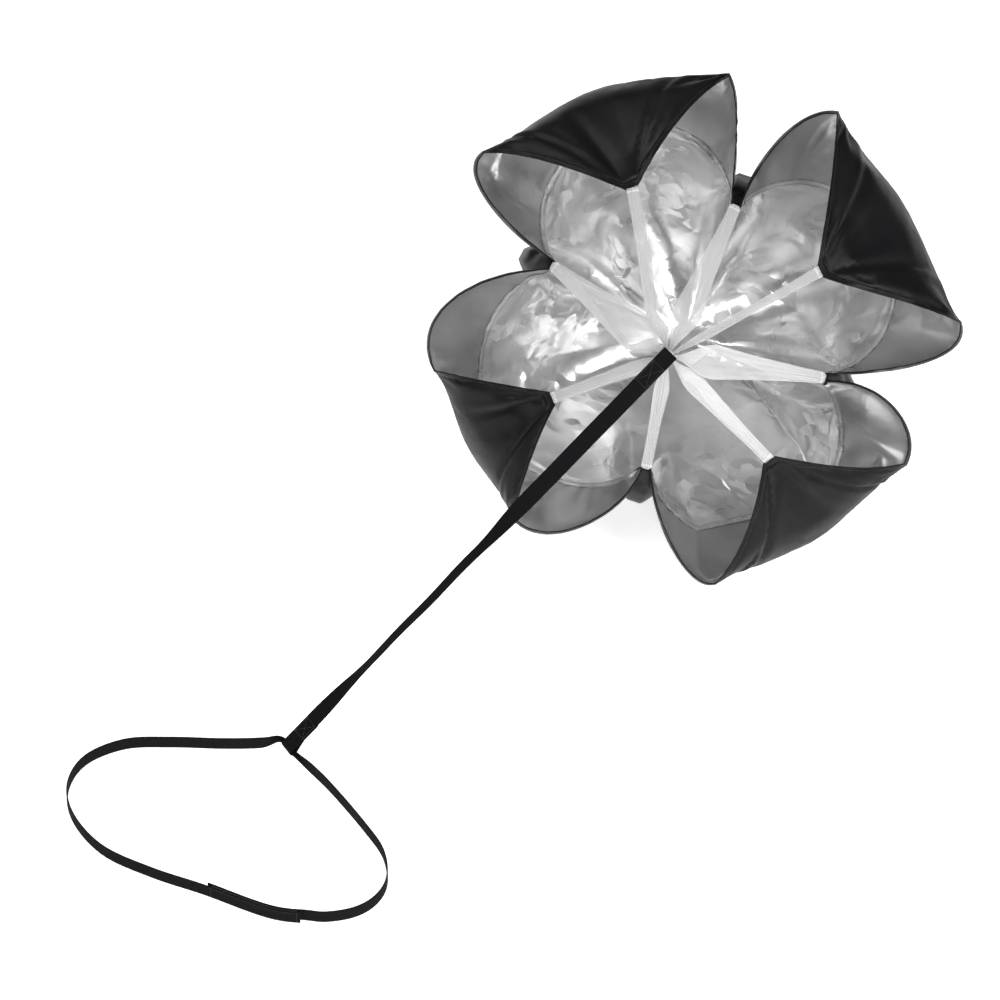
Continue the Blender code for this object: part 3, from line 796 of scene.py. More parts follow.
def tape_tree():
    """Small hooks or loops that stand on a tape."""
    tree = bpy.data.node_groups.get("tape_surface")
    if tree:
        return tree
    sizes = {"Spacing": 0.0015, "Height": 0.0007, "Wire": 0.0001}
    tree, given = new_tree("tape_surface", "Tape", sizes, "Surface")
    spread = add_node(
        tree,
        "GeometryNodeDistributePointsOnFaces",
        {
            "Mesh": given.outputs["Tape"],
            "Distance Min": given.outputs["Spacing"],
            "Density Max": 800000.0,
            "Seed": 7,
        },
        distribute_method="POISSON",
    )
    arc = add_node(
        tree,
        "GeometryNodeCurveArc",
        {"Resolution": 5, "Radius": 0.5, "Start Angle": -0.5, "Sweep Angle": 4.1},
        mode="RADIUS",
    )
    size = add_node(
        tree,
        "ShaderNodeCombineXYZ",
        {"X": given.outputs["Height"], "Y": given.outputs["Height"], "Z": given.outputs["Height"]},
    )
    stood = add_node(
        tree,
        "GeometryNodeTransform",
        {"Geometry": arc.outputs[0], "Rotation": (math.pi / 2, 0.0, 0.0), "Scale": size.outputs[0]},
    )
    profile = add_node(
        tree, "GeometryNodeCurvePrimitiveCircle", {"Resolution": 3, "Radius": given.outputs["Wire"]}
    )
    wire = add_node(
        tree,
        "GeometryNodeCurveToMesh",
        {"Curve": stood.outputs[0], "Profile Curve": profile.outputs[0], "Fill Caps": True},
    )
    return place_on_points(tree, spread, wire.outputs[0], given.outputs["Finish"], "Surface")


def run_tree(piece, tree, **values):
    """Run a tree on a piece with its named inputs set, and keep the plain mesh."""
    modifier = piece.modifiers.new(tree.name, "NODES")
    modifier.node_group = tree
    for item in tree.interface.items_tree:
        key = item.name.replace(" ", "_").lower()
        if item.item_type == "SOCKET" and item.in_out == "INPUT" and key in values:
            modifier[item.identifier] = values[key]
    apply_modifiers(piece)


def stitches(name, lines, finish_name, body, **sizes):
    """A piece of stitches along lines of points."""
    mesh = bpy.data.meshes.new(name)
    points, edges = [], []
    for line in lines:
        start = len(points)
        points += [tuple(point) for point in line]
        edges += [(index, index + 1) for index in range(start, len(points) - 1)]
    mesh.from_pydata(points, edges, [])
    piece = bpy.data.objects.new(name, mesh)
    bpy.context.scene.collection.objects.link(piece)
    sizes.setdefault("pitch", bpy.context.scene.chute_webbing.stitch_pitch)
    run_tree(piece, stitch_tree(), finish=finish_of(finish_name), **sizes)
    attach(piece, body)
    return piece


# Canopy


def vector(pair):
    """A point of the mouth's plane."""
    return Vector((pair[0], pair[1], 0.0))


def bezier(points, share):
    """The point at a share of a curve with two handles."""
    rest = 1.0 - share
    weights = (rest**3, 3 * rest**2 * share, 3 * rest * share**2, share**3)
    first, handle, other, last = (point * weight for point, weight in zip(points, weights))
    return first + handle + other + last


def angle_of(point):
    return math.atan2(point.y, point.x)


def turned(angle, start):
    """The angle from a start, between minus and plus half a turn."""
    return (angle - start + math.pi) % math.tau - math.pi


def along(points, distance):
    """The point at a distance along a row of points."""
    for point, following in zip(points, points[1:]):
        length = (following - point).length
        if distance <= length:
            return point.lerp(following, distance / length)
        distance -= length
    return points[-1]


def length_of(points):
    return sum((b - a).length for a, b in zip(points, points[1:]))


attachments = [vector(pair) * canopy_radius for pair in attachment_shares]


def across(place, width):
    """The two ends of an attachment, anticlockwise from its middle."""
    centre = attachments[place]
    sideways = canopy_axis.cross(centre).normalized() * (width / 2)
    return centre - sideways, centre + sideways


def stations(side):
    """Rim, girth and seam points of a side panel, and how far each is from a corner."""
    start, tip, end = panel_corners[side]
    first = across(start, cleft_width)[1]
    last = across(end, cleft_width)[0]
    tip_start, tip_end = across(tip, tip_width)
    lobe, edge, other_edge, other_lobe = [
        [vector(pair) * canopy_radius for pair in stretch] for stretch in rim_shares[side]
    ]
    first_lobe = (first, lobe[0], lobe[1], lobe[2])
    first_edge = (lobe[2], edge[0], edge[1], tip_start)
    second_edge = (tip_end, other_edge[0], other_edge[1], other_lobe[0])
    second_lobe = (other_lobe[0], other_lobe[1], other_lobe[2], last)
    handles = [vector(pair) * canopy_radius for pair in flap_shares[side]]
    flap = (first_lobe[3], handles[0], handles[1], second_lobe[0])
    start_angle = angle_of(attachments[start])
    whole_turn = turned(angle_of(attachments[end]), start_angle) % math.tau
    found = []

    def turn_of(point):
        return turned(angle_of(point), start_angle) / whole_turn

    def add(rim, outline, lobe_share, turn):
        depth = math.sin(math.pi / 2 * lobe_share) ** 2
        forward = attachment_forward + (lobe_forward - attachment_forward) * depth
        rim_point = rim + canopy_axis * forward
        rise = 4 * turn * (1 - turn)
        girth_start = attachment_forward - corner_back / 2
        girth = outline * girth_share + canopy_axis * (girth_start - (girth_start + girth_back) * rise**0.5)
        angle = start_angle + whole_turn * turn
        corner_radius = attachments[start].length * (1 - turn) + attachments[end].length * turn
        radius = corner_radius + (seam_radius - corner_radius) * rise
        behind = attachment_forward - corner_back
        back = behind - (seam_back + behind) * rise
        seam = Vector((math.cos(angle) * radius, math.sin(angle) * radius, back))
        sideways = Vector((-math.sin(angle), math.cos(angle), 0.0))
        seam += sideways * (cleft_width / 2 * (1 - rise) ** 2 * (1 if turn < 0.5 else -1))
        found.append((rim_point, girth, seam, rise))

    first_turn = turn_of(first_lobe[3])
    second_turn = turn_of(second_lobe[0])
    for step in range(lobe_steps + 1):
        share = step / lobe_steps
        point = bezier(first_lobe, share)
        add(point, point, share, first_turn * share)
    for step in range(1, flap_steps + 1):
        share = step / flap_steps
        outline = bezier(flap, share * flap_half_share)
        add(bezier(first_edge, share), outline, 1 - share, turn_of(outline))
    outline = bezier(flap, 0.5)
    add((first_edge[3] + second_edge[0]) / 2, outline, 0.0, turn_of(outline))
    for step in range(flap_steps):
        share = step / flap_steps
        outline = bezier(flap, 1 - flap_half_share * (1 - share))
        add(bezier(second_edge, share), outline, share, turn_of(outline))
    for step in range(lobe_steps + 1):
        share = step / lobe_steps
        point = bezier(second_lobe, share)
        add(point, point, 1 - share, 1 + (second_turn - 1) * (1 - share))
    return found


def section(rim, girth, seam):
    """The line of a side panel from the rim over its girth to the seam."""
    handle = (girth * 8 - rim - seam) / 6
    curve = (rim, handle, handle, seam)
    return [bezier(curve, step / section_steps) for step in range(section_steps + 1)]


def crown_line(seam, girth, rim, rise):
    """The curve of the crown from the seam to its middle, smooth over the seam."""
    outward = vector((seam.x, seam.y)).normalized()
    arrival = (seam - section(rim, girth, seam)[-2]).normalized()
    flare = outward * (canopy_radius * corner_flare_share)
    flare -= canopy_axis * (canopy_depth * corner_drop_share)
    handle = seam + (arrival * (canopy_depth * crown_handle_share)).lerp(flare, (1 - rise) ** 2)
    inner = outward * (seam_radius * crown_flat_share) - canopy_axis * canopy_depth
    return seam, handle, inner, canopy_axis * -canopy_depth


def crumpled(point, normal, depth, quiet):
    """A point of the cloth moved by the creases of crumpled taffeta."""
    height = 0.0
    for size, weight in crease_sizes:
        nearest = noise.voronoi(point / size, distance_metric="DISTANCE")[0]
        height += (nearest[0] - 0.45) * weight * size / crease_sizes[0][0]
    spoke = math.atan2(point.y, point.x) * 7.0
    height += 0.35 * noise.noise(Vector((spoke, point.z * 4.0, 3.7)))
    return point + normal * (height * depth * quiet)


class CanopyShape:
    """The whole canopy as one smooth sheet of stations, shared by its cloth, hems and seams."""

    def __init__(self, settings):
        self.settings = settings
        self.panels, self.lines = {}, []
        for side in ("top", "left", "bottom", "right"):
            found = stations(side)
            rows = []
            for rim, girth, seam, rise in found:
                line = section(rim, girth, seam)
                total = length_of(line)
                rows.append([along(line, total * step / panel_rows) for step in range(panel_rows + 1)])
                crown = crown_line(seam, girth, rim, rise)
                shares = [(step / crown_rows) ** crown_row_share for step in range(crown_rows)]
                self.lines.append([bezier(crown, share) for share in shares])
            self.panels[side] = rows
        self.crown = self.lines
        self.pole = canopy_axis * -canopy_depth
        self.crease()
        self.inflate()
        for rows in (*self.panels.values(), self.crown):
            for row in rows:
                row[:] = [on_ground(point) for point in row]

    def crease(self):
        """Start the large folds that spread from each flap's tip, and faint creases all over."""
        depth = self.settings.crumple
        for side, rows in self.panels.items():
            middle = len(rows) / 2
            normals = grid_normals(rows, closed=False)
            for place, row in enumerate(rows):
                for step in range(1, panel_rows):
                    share = step / panel_rows
                    fold = 0.0
                    for slope, weight in tip_folds[side]:
                        away = (place - middle - slope * share) / (1.0 + fold_spread * share)
                        fold += weight * (1 - 2 * away**2) * math.exp(-(away**2))
                    fold *= eased(share / fold_start) * eased((fold_stop - share) / fold_fading)
                    normal = normals[place][step]
                    point = crumpled(row[step], normal, depth * 0.4, min(share, 1 - share) * 2)
                    row[step] = point - normal * (fold * self.settings.tip_fold)
        normals = grid_normals(self.crown, closed=True)
        for place, row in enumerate(self.crown):
            for step in range(1, crown_rows):
                share = step / crown_rows
                quiet = min(1.0, share * 3.0, (1 - share) * 3.0)
                row[step] = crumpled(row[step], normals[place][step], depth, quiet)

    def inflate(self):
        """Fill the canopy with air. The cloth is cut a little larger than its shape, so it puckers."""
        points, faces, rim_pins = [], [], []

        def add_point(point):
            points.append(tuple(point))
            return len(points) - 1

        panel_index, crown_index = {}, []
        for side, rows in self.panels.items():
            panel_index[side] = [[add_point(point) for point in row] for row in rows]
            for row in panel_index[side]:
                rim_pins += [row[0], row[-1]]
            crown_index += [[row[-1]] for row in panel_index[side]]
            for row, other in zip(panel_index[side], panel_index[side][1:]):
                faces += [(row[n], other[n], other[n + 1], row[n + 1]) for n in range(panel_rows)]
        for row, points_of_row in zip(crown_index, self.crown):
            row += [add_point(point) for point in points_of_row[1:]]
        pole = add_point(self.pole)
        count = len(crown_index)
        for place, row in enumerate(crown_index):
            other = crown_index[(place + 1) % count]
            faces += [(row[n], other[n], other[n + 1], row[n + 1]) for n in range(crown_rows - 1)]
            faces.append((row[-1], other[-1], pole))
        mesh = bpy.data.meshes.new("inflated")
        mesh.from_pydata(points, [], faces)
        if sum(face.normal.dot(face.center) for face in mesh.polygons) < 0:
            mesh.flip_normals()
        flat = bpy.data.objects.new("inflated", mesh)
        scene = bpy.context.scene
        scene.collection.objects.link(flat)
        group = flat.vertex_groups.new(name="sewn")
        group.add(rim_pins, 1.0, "REPLACE")
        held, held_from, held_over = 0.8, 0.25, 0.5
        for step in range(1, crown_rows):
            hold = held * eased((step / crown_rows - held_from) / held_over)
            if hold > 0:
                group.add([row[step] for row in crown_index], hold, "REPLACE")
        group.add([pole], 1.0, "REPLACE")
        loose = flat.vertex_groups.new(name="loose")
        patches_in_a_metre, loose_to, loose_over = 9.0, 0.5, 0.2
        for row in crown_index:
            for step in range(crown_rows):
                patch = 0.6 + 0.9 * noise.noise(Vector(points[row[step]]) * patches_in_a_metre)
                outer = eased((loose_to - step / crown_rows) / loose_over)
                loose.add([row[step]], max(0.0, min(patch, 1.0)) * outer, "REPLACE")
        cloth = flat.modifiers.new("Air", "CLOTH")
        air = cloth.settings
        air.quality = 5
        air.mass = self.settings.sim_mass
        air.tension_stiffness = 20
        air.compression_stiffness = 20
        air.shear_stiffness = 8
        air.bending_stiffness = self.settings.sim_bend
        air.tension_damping = air.compression_damping = air.shear_damping = 8
        air.vertex_group_mass = "sewn"
        air.pin_stiffness = 4.0
        air.vertex_group_shrink = "loose"
        air.shrink_min = -self.settings.spare_cloth
        air.shrink_max = -self.settings.spare_cloth * 4
        air.use_pressure = True
        air.uniform_pressure_force = self.settings.air_pressure
        air.effector_weights.gravity = 0.0
        cloth.collision_settings.use_collision = False
        frames = self.settings.sim_frames
        cloth.point_cache.frame_start, cloth.point_cache.frame_end = 1, frames
        for number in range(1, frames + 1):
            scene.frame_set(number)
        graph = bpy.context.evaluated_depsgraph_get()
        result = flat.evaluated_get(graph).data
        moved = [vert.co.copy() for vert in result.vertices]
        bpy.data.objects.remove(flat, do_unlink=True)
        scene.frame_set(1)
        cap = self.settings.air_reach

        def settled(index):
            start = Vector(points[index])
            move = moved[index] - start
            return start + move * min(1.0, cap / max(move.length, 1e-9))

        for side, rows in panel_index.items():
            self.panels[side] = [[settled(index) for index in row] for row in rows]
        self.crown = [[settled(index) for index in row] for row in crown_index]
        self.pole = settled(pole)


def grid_normals(rows, closed):
    """Outward normals of a grid of points."""
    array = numpy.array([[tuple(point) for point in row] for row in rows])
    if closed:
        around = numpy.roll(array, -1, axis=0) - numpy.roll(array, 1, axis=0)
    else:
        around = numpy.gradient(array, axis=0)
    inward = numpy.gradient(array, axis=1)
    normals = numpy.cross(inward, around)
    normals /= numpy.maximum(numpy.linalg.norm(normals, axis=2, keepdims=True), 1e-12)
    flip = numpy.sign((normals * array).sum())
    return [[Vector(point) for point in row] for row in normals * flip]


def on_ground(point, wall=0.0012):
    """Lift a point of the fabric that would lie below the ground."""
    shortfall = wall / 2 - (to_world @ point).z
    if shortfall <= 0:
        return point
    return point + canopy_turn.transposed() @ Vector((0.0, 0.0, shortfall))


def laid_in_frame(rows):
    """Rows of points turned with the canopy and put in their place."""
    return [[to_world @ point for point in row] for row in rows]


shapes = {}


def canopy_shape():
    """The canopy's shape, made once."""
    if "canopy" not in shapes:
        shapes["canopy"] = CanopyShape(bpy.context.scene.chute_canopy)
    return shapes["canopy"]


def area_of(rows, closed=False):
    """The area of a grid of points."""
    total = 0.0
    count = len(rows)
    for index in range(count if closed else count - 1):
        row, other = rows[index], rows[(index + 1) % count]
        for step in range(len(row) - 1):
            a, b, c, d = row[step], row[step + 1], other[step + 1], other[step]
            total += ((c - a).cross(d - b)).length / 2
    return total


class CHUTE_OT_canopy(bpy.types.Operator):
    """Make the crown and the four side panels of silver-lined taffeta"""

    bl_idname = "chute.canopy"
    bl_label = "Canopy cloth"

    def execute(self, context):
        shape = canopy_shape()
        wall = context.scene.chute_canopy.cloth_thickness
        for side, rows in shape.panels.items():
            mesh = grid_mesh(f"cloth_{side}", [row[1:] for row in laid_in_frame(rows)])
            piece = new_piece(f"cloth_{side}", mesh, "outside", "lining")
            thicken(piece, wall, inner_finish=1)
            stand_for(piece, "canopy", f"side_panel_{side}")
            area = area_of(rows)
        crown = laid_in_frame(shape.crown)
        columns = [list(column) for column in zip(*crown)]
        pole = to_world @ on_ground(shape.pole)
        mesh = grid_mesh("cloth_crown", [column[::-1] for column in columns], closed=True, pole=pole)
        # The crown takes the lighter copy of the coating, a painted highlight.
        piece = new_piece("cloth_crown", mesh, "outside", "crown lining with painted highlight")
        thicken(piece, wall, inner_finish=1)
        stand_for(piece, "canopy", "crown_panel")
        area = area_of(shape.crown, closed=True)
        side = math.sqrt(area) * 1.01
        return {"FINISHED"}


class CHUTE_OT_hems(bpy.types.Operator):
    """Make the rim's folded hems and the felled seams around the crown, with their stitches"""

    bl_idname = "chute.hems"
    bl_label = "Hems and seams"

    def execute(self, context):
        shape = canopy_shape()
        settings = context.scene.chute_canopy
        hem_lift, seam_lift = 0.0009, 0.0010
        for side, rows in shape.panels.items():
            hem_rows, seam_rows, hem_stitches, seam_stitches = [], [], [[], []], [[], [], [], []]
            normals = grid_normals(rows, closed=False)
            for place, row in enumerate(rows):
                total = length_of(row)
                hem = min(settings.hem_width, total * 0.28)
                felled = min(settings.seam_width, total * 0.22)
                back = row[::-1]
                hem_normal, seam_normal = normals[place][1], normals[place][-2]
                hem_pucker = 0.0003 * math.sin(place * 2.1)
                seam_pucker = 0.0004 * math.sin(place * 1.7)

                def on_hem(share, lift):
                    return along(row, hem * share) + hem_normal * lift

                def on_seam(share, lift, wall):
                    return on_ground(along(back, felled * share) + seam_normal * lift, wall)

                hem_rows.append([on_hem(share, hem_pucker) for share in (0.0, 0.12, 0.5, 0.85, 1.0)])
                seam_rows.append(
                    [on_seam(share, seam_pucker, seam_wall) for share in (1.0, 0.9, 0.5, 0.1, 0.0)]
                )
                for number, sign in enumerate((1, -1)):
                    hem_stitches[number].append(to_world @ on_hem(0.78, hem_pucker + sign * hem_lift))
                    for line, share in enumerate((0.18, 0.82)):
                        point = on_seam(share, seam_pucker + sign * seam_lift, seam_wall + 0.0001)
                        seam_stitches[number * 2 + line].append(to_world @ point)
            for name, node, strip_rows, wall, inside in (
                ("hem", "rim_hem", hem_rows, hem_wall, "lining"),
                # The crown's seams take the crown's lighter copy of the coating, a painted highlight.
                ("seam", "crown_seam", seam_rows, seam_wall, "crown lining with painted highlight"),
            ):
                mesh = grid_mesh(f"{name}_{side}", laid_in_frame(strip_rows))
                piece = new_piece(f"{name}_{side}", mesh, "outside", inside)
                thicken(piece, wall, inner_finish=1)
                stand_for(piece, "canopy", f"{node}_{side}")
            for name, lines in (("hem", hem_stitches), ("seam", seam_stitches)):
                stitches(f"{name}_stitches_{side}", lines, "black thread", "canopy", thread=0.0006)
        return {"FINISHED"}


# Gather, strap and belt places in the frame

gather_canopy = vector(gather_shares) * canopy_radius + canopy_axis * gather_forward
gather = to_world @ gather_canopy


def strap_places(width):
    """Directions and ends of the tow strap."""
    fall = gather.z - width / 2
    run = fall / math.tan(math.radians(strap_slope))
    bearing = math.radians(strap_bearing)
    eye = gather + Vector((math.cos(bearing) * run, math.sin(bearing) * run, -fall))
    strap_way = (eye - gather).normalized()
    mouth_way = canopy_turn @ canopy_axis
    gather_way = mouth_way.cross(strap_way).normalized()
    gather_front = strap_way.cross(gather_way).normalized()
    if gather_front.dot(mouth_way) < 0:
        gather_front = -gather_front
    eye_way = Vector((math.sin(bearing), -math.cos(bearing), 0.0)).normalized()
    if eye_way.dot(gather_way) < 0:
        eye_way = -eye_way
    eye_front = strap_way.cross(eye_way).normalized()
    if eye_front.z < 0:
        eye_front = -eye_front
    return {
        "eye": eye,
        "strap_way": strap_way,
        "mouth_way": mouth_way,
        "gather_way": gather_way,
        "gather_front": gather_front,
        "eye_way": eye_way,
        "eye_front": eye_front,
    }


def twist_of(share):
    """How far the strap has turned about its own length, from 0 at both ends to 1."""
    start, stop = share - twist_start_share, twist_stop_share - share
    return eased(start / twist_length_share) * eased(stop / twist_length_share)


class CHUTE_OT_strips(bpy.types.Operator):
    """Make the eight sheer mesh strips, their stitched tabs and the gather where they meet"""

    bl_idname = "chute.strips"
    bl_label = "Mesh strips"

    def execute(self, context):
        places = strap_places(context.scene.chute_webbing.webbing_width)
        turn = canopy_turn.transposed()
        for place in range(len(attachments)):
            rim = attachments[place] + canopy_axis * attachment_forward
            way = (gather_canopy - rim).normalized()
            width_way = canopy_axis.cross(way).normalized()
            normal = width_way.cross(way).normalized()
            facing = turn.transposed() @ -way
            along_width = facing.dot(places["gather_way"]) / (gather_length / 2)
            aside = math.sqrt(max(1 - facing.dot(places["gather_way"]) ** 2, 0.0))
            cross_width = aside / (gather_diameter / 2)
            reach = 1 / math.hypot(along_width, cross_width)
            begin = rim + way * 0.0025
            end = gather_canopy - way * (reach * 0.92)
            rows, map_rows = [], []
            for step in range(strip_steps + 1):
                share = step / strip_steps
                row, map_row = self.strip_row(place, share, begin.lerp(end, share))
                rows.append(row)
                map_rows.append(map_row)
            name = f"strip_{place + 1}"
            piece = new_piece(name, grid_mesh(name, rows, map_rows=map_rows), "mesh")
            thicken(piece, 0.0004)
            stand_for(piece, "canopy", f"mesh_strip_{place + 1}")
            self.tab(place, rim, way, width_way, normal)
        self.gathered(places)
        return {"FINISHED"}

    def strip_row(self, place, share, centre):
        """Points across a strip: it is folded on itself like a Z, less where it spreads."""
        flat_width = bpy.context.scene.chute_strips.strip_width
        if share < spread_peak_share:
            spread = share / spread_peak_share
        else:
            fall = (share - spread_peak_share) / (1 - spread_peak_share)
            spread = max(math.cos(math.pi / 2 * fall), 0.0) ** spread_fall_share
        taper = strip_start_width + (strip_end_width - strip_start_width) * share
        width = taper + max(flat_width * spread_shares[place] - taper, 0.0) * spread
        layer = strip_layer * (1 if place % 2 else -1) * spread
        radial = vector((centre.x - gather_canopy.x, centre.y - gather_canopy.y))
        tucked = min((flat_width - width) / 2, width * 0.86)
        side = 1 if place in {0, 3, 4, 7} else -1
        spare = math.sqrt(max(flat_width**2 - (width + 2 * tucked) ** 2, 0.0))
        pleat = min(spare / (4 * pleat_count), pleat_depth)
        row, map_row = [], []
        for column in range(strip_columns + 1):
            t = column / strip_columns
            run = t * (width + 2 * tucked)
            if run < width:
                x, ply = run, 0.0
            elif run < width + tucked:
                x, ply = 2 * width - run, 1.0
            else:
                x, ply = run - 2 * tucked, 2.0
            for turn_at in (width, width + tucked):
                ply += 0.5 * math.tanh((run - turn_at) / ply_turn) - (0.5 if run >= turn_at else -0.5)
            x = (x / width * 2 - 1) * side
            crease = broad_crease * math.sin(x * 3.1 + place + 2.0 * share) * spread
            crease += fine_crease * abs(math.sin(x * 7.0 + place * 2.0 + 1.5 * share)) * (0.4 + spread)
            crease += uneven_crease * noise.noise(Vector((x * 2.0, share * 9.0, place * 3.3)))
            crease += pleat * math.sin(t * math.tau * pleat_count + 1.5 * math.sin(share * 5.0 + place))
            angle = angle_of(radial) + width / 2 * x / radial.length
            distance = radial.length + layer + crease + (ply - 1.0) * ply_gap * side
            point = Vector((math.cos(angle) * distance, math.sin(angle) * distance, 0.0))
            row.append(to_world @ Vector((gather_canopy.x + point.x, gather_canopy.y + point.y, centre.z)))
            map_row.append((share * 0.34, t * flat_width))
        return row, map_row

    def tab(self, place, rim, way, width_way, normal):
        """The strip's pleated and stitched end on the rim."""
        outward = attachments[place].normalized()
        sideways = canopy_axis.cross(outward).normalized()
        if sideways.dot(width_way) < 0:
            sideways = -sideways
        half = strip_start_width / 2
        corner = place in {1, 3, 5, 7}
        if corner:
            neck = cleft_width / 2 - 0.0026
            line = [
                (rim - canopy_axis * (corner_back - 0.001), neck),
                (rim - canopy_axis * 0.008, neck),
                (rim, neck + 0.0006),
                (rim + way * 0.005, half - 0.001),
                (rim + way * 0.010, half),
            ]
        else:
            line = [(rim + way * 0.0006, half), (rim + way * 0.004, half), (rim + way * 0.010, half)]
        rows, map_rows, travelled = [], [], 0.0
        for number, (point, reach) in enumerate(line):
            share = number / (len(line) - 1)
            turn = sideways.lerp(width_way, share).normalized()
            facing = outward.lerp(normal, share).normalized() if corner else normal
            row, map_row = [], []
            if number:
                travelled += (point - line[number - 1][0]).length
            for column in range(tab_columns + 1):
                x = column / tab_columns * 2 - 1
                pleat = abs(math.sin(x * math.pi * 2.5)) * 0.0007
                row.append(to_world @ (point + turn * (reach * x) + facing * pleat))
                map_row.append((travelled, x * half))
            rows.append(row)
            map_rows.append(map_row)
        name = f"tab_{place + 1}"
        piece = new_piece(name, grid_mesh(name, rows, map_rows=map_rows), "tape")
        thicken(piece, 0.0024)
        stand_for(piece, "canopy", f"strip_tab_{place + 1}")
        lines = []
        for side in (-1, 1):
            for number in (1, 2) if not corner else (3, 4):
                point, reach = line[number]
                middle = point - way * 0.0012 + normal * (side * 0.0019)
                lines.append(
                    [to_world @ (middle + width_way * (reach * 0.86 * x)) for x in (-1, -0.5, 0, 0.5, 1)]
                )
        sizes = {"pitch": 0.0016, "stitch_length": 0.0013}
        stitches(f"tab_stitches_{place + 1}", lines, "white thread", "canopy", **sizes)

    def gathered(self, places):
        """The strips' ends sewn into one pleated bundle."""
        mesh = bpy.data.meshes.new("gather_bundle")
        build = bmesh.new()
        bmesh.ops.create_uvsphere(build, u_segments=72, v_segments=36, radius=0.5)
        ways = (places["gather_way"], places["gather_front"], places["strap_way"])
        frame_turn = Matrix(ways).transposed().to_4x4()
        for vert in build.verts:
            angle = math.atan2(vert.co.z, vert.co.y)
            pleat = 1 - 0.10 * abs(math.sin(angle * 8 + vert.co.x * 3)) * (1 - abs(vert.co.x * 2) ** 4)
            vert.co.y *= pleat
            vert.co.z *= pleat
        shape = frame_turn @ Matrix.Diagonal((gather_length, gather_diameter, gather_diameter, 1.0))
        bmesh.ops.transform(build, matrix=Matrix.Translation(gather) @ shape, verts=build.verts)
        layer = build.loops.layers.uv.new("cloth_map")
        for face in build.faces:
            for loop in face.loops:
                offset = loop.vert.co - gather
                loop[layer].uv = (offset.dot(places["gather_way"]), offset.dot(places["gather_front"]))
        bmesh.ops.recalc_face_normals(build, faces=build.faces)
        build.to_mesh(mesh)
        build.free()
        mesh.shade_smooth()
        piece = new_piece("gather_bundle", mesh, "tape")
        stand_for(piece, "canopy", "mesh_gather")


class CHUTE_OT_tow_strap(bpy.types.Operator):
    """Make the tow strap, its end patch and its box stitching"""

    bl_idname = "chute.tow_strap"
    bl_label = "Tow strap"

    def execute(self, context):
        settings = context.scene.chute_webbing
        width, wall = settings.webbing_width, settings.webbing_wall
        places = strap_places(width)
        eye, strap_way = places["eye"], places["strap_way"]
        near = gather_diameter / 2 + seat_gap + cad_wall / 2
        far = belt_bundle / 2 + eye_clearance + cad_wall / 2
        start = gather + places["gather_front"] * near
        stop = eye + places["eye_front"] * far
        straight = (stop - start).length

        def frame_at(distance):
            share = min(max(distance / straight, 0.0), 1.0)
            width_way = places["gather_way"].lerp(places["eye_way"], share).normalized()
            twist = math.radians(strap_twist) * twist_of(share)
            width_way = Matrix.Rotation(twist, 3, strap_way) @ width_way
            front = strap_way.cross(width_way).normalized()
            if front.dot(places["mouth_way"]) < 0:
                front = -front
            return start.lerp(stop, share), width_way, front

        spine = []
        for step in range(lap_steps):
            angle = math.radians(90 + strap_lap * (1 - step / lap_steps))
            around = strap_way * math.cos(angle) + places["gather_front"] * math.sin(angle)
            spine.append((gather + around * near, places["gather_way"]))
        for step in range(strap_steps + 1):
            centre, width_way, front = frame_at(straight * step / strap_steps)
            wave = 0.0007 * math.sin(step * 0.21) * math.sin(math.pi * step / strap_steps)
            spine.append((centre + front * wave, width_way))
        for step in range(1, eye_steps + 1):
            angle = math.radians(90 - eye_wrap * step / eye_steps)
            around = strap_way * math.cos(angle) + places["eye_front"] * math.sin(angle)
            spine.append((eye + around * far, places["eye_way"]))
        for share in (0.45, 0.55, 0.65, 0.8, 1.0):
            centre, width_way, front = frame_at(straight - eye_return * share)
            spine.append((centre - front * (cad_wall + seat_gap), width_way))
        piece = flat_webbing("strap_webbing", spine, width, wall, "webbing")
        stand_for(piece, "tow_strap", "tow_strap")
        first = gather_diameter * 0.75
        spine = []
        for step in range(13):
            centre, width_way, front = frame_at(first + end_patch_length * step / 12)
            spine.append((centre - front * (cad_wall + seat_gap), width_way))
        patch = flat_webbing("end_patch", spine, width, wall, "webbing")
        stand_for(patch, "tow_strap", "strap_end_patch")

        lines = []
        for low, high in (
            (first + box_stitch_inset, first + end_patch_length - box_stitch_inset),
            (straight - eye_return + box_stitch_inset, straight - eye_return * 0.45),
        ):
            for side in (1, -1):
                lift = cad_wall * 0.5 + 0.0001 if side > 0 else -(cad_wall * 1.5 + seat_gap + 0.0001)

                def corner(distance, reach):
                    centre, width_way, front = frame_at(distance)
                    return centre + width_way * (width * 0.40 * reach) + front * lift

                a, b, c, d = corner(low, -1), corner(low, 1), corner(high, 1), corner(high, -1)
                lines += [[a, b, c, d, a], [a, c], [b, d]]
        stitches("strap_stitches", lines, "black thread", "tow_strap", thread=0.0007)
        return {"FINISHED"}


def smooth_line(points, before, after, steps):
    """A smooth curve through points, leaving towards one neighbour and arriving from another."""
    whole = [before, *points, after]
    line = []
    for index in range(1, len(whole) - 2):
        a, b, c, d = whole[index - 1 : index + 3]
        for step in range(steps):
            share = step / steps
            line.append(
                (
                    b * 2
                    + (c - a) * share
                    + (a * 2 - b * 5 + c * 4 - d) * share**2
                    + (b * 3 - a - c * 3 + d) * share**3
                )
                / 2
            )
    line.append(points[-1])
    return line


def eased(share):
    """A share from 0 to 1 that starts and ends slowly."""
    share = min(max(share, 0.0), 1.0)
    return share * share * (3 - 2 * share)


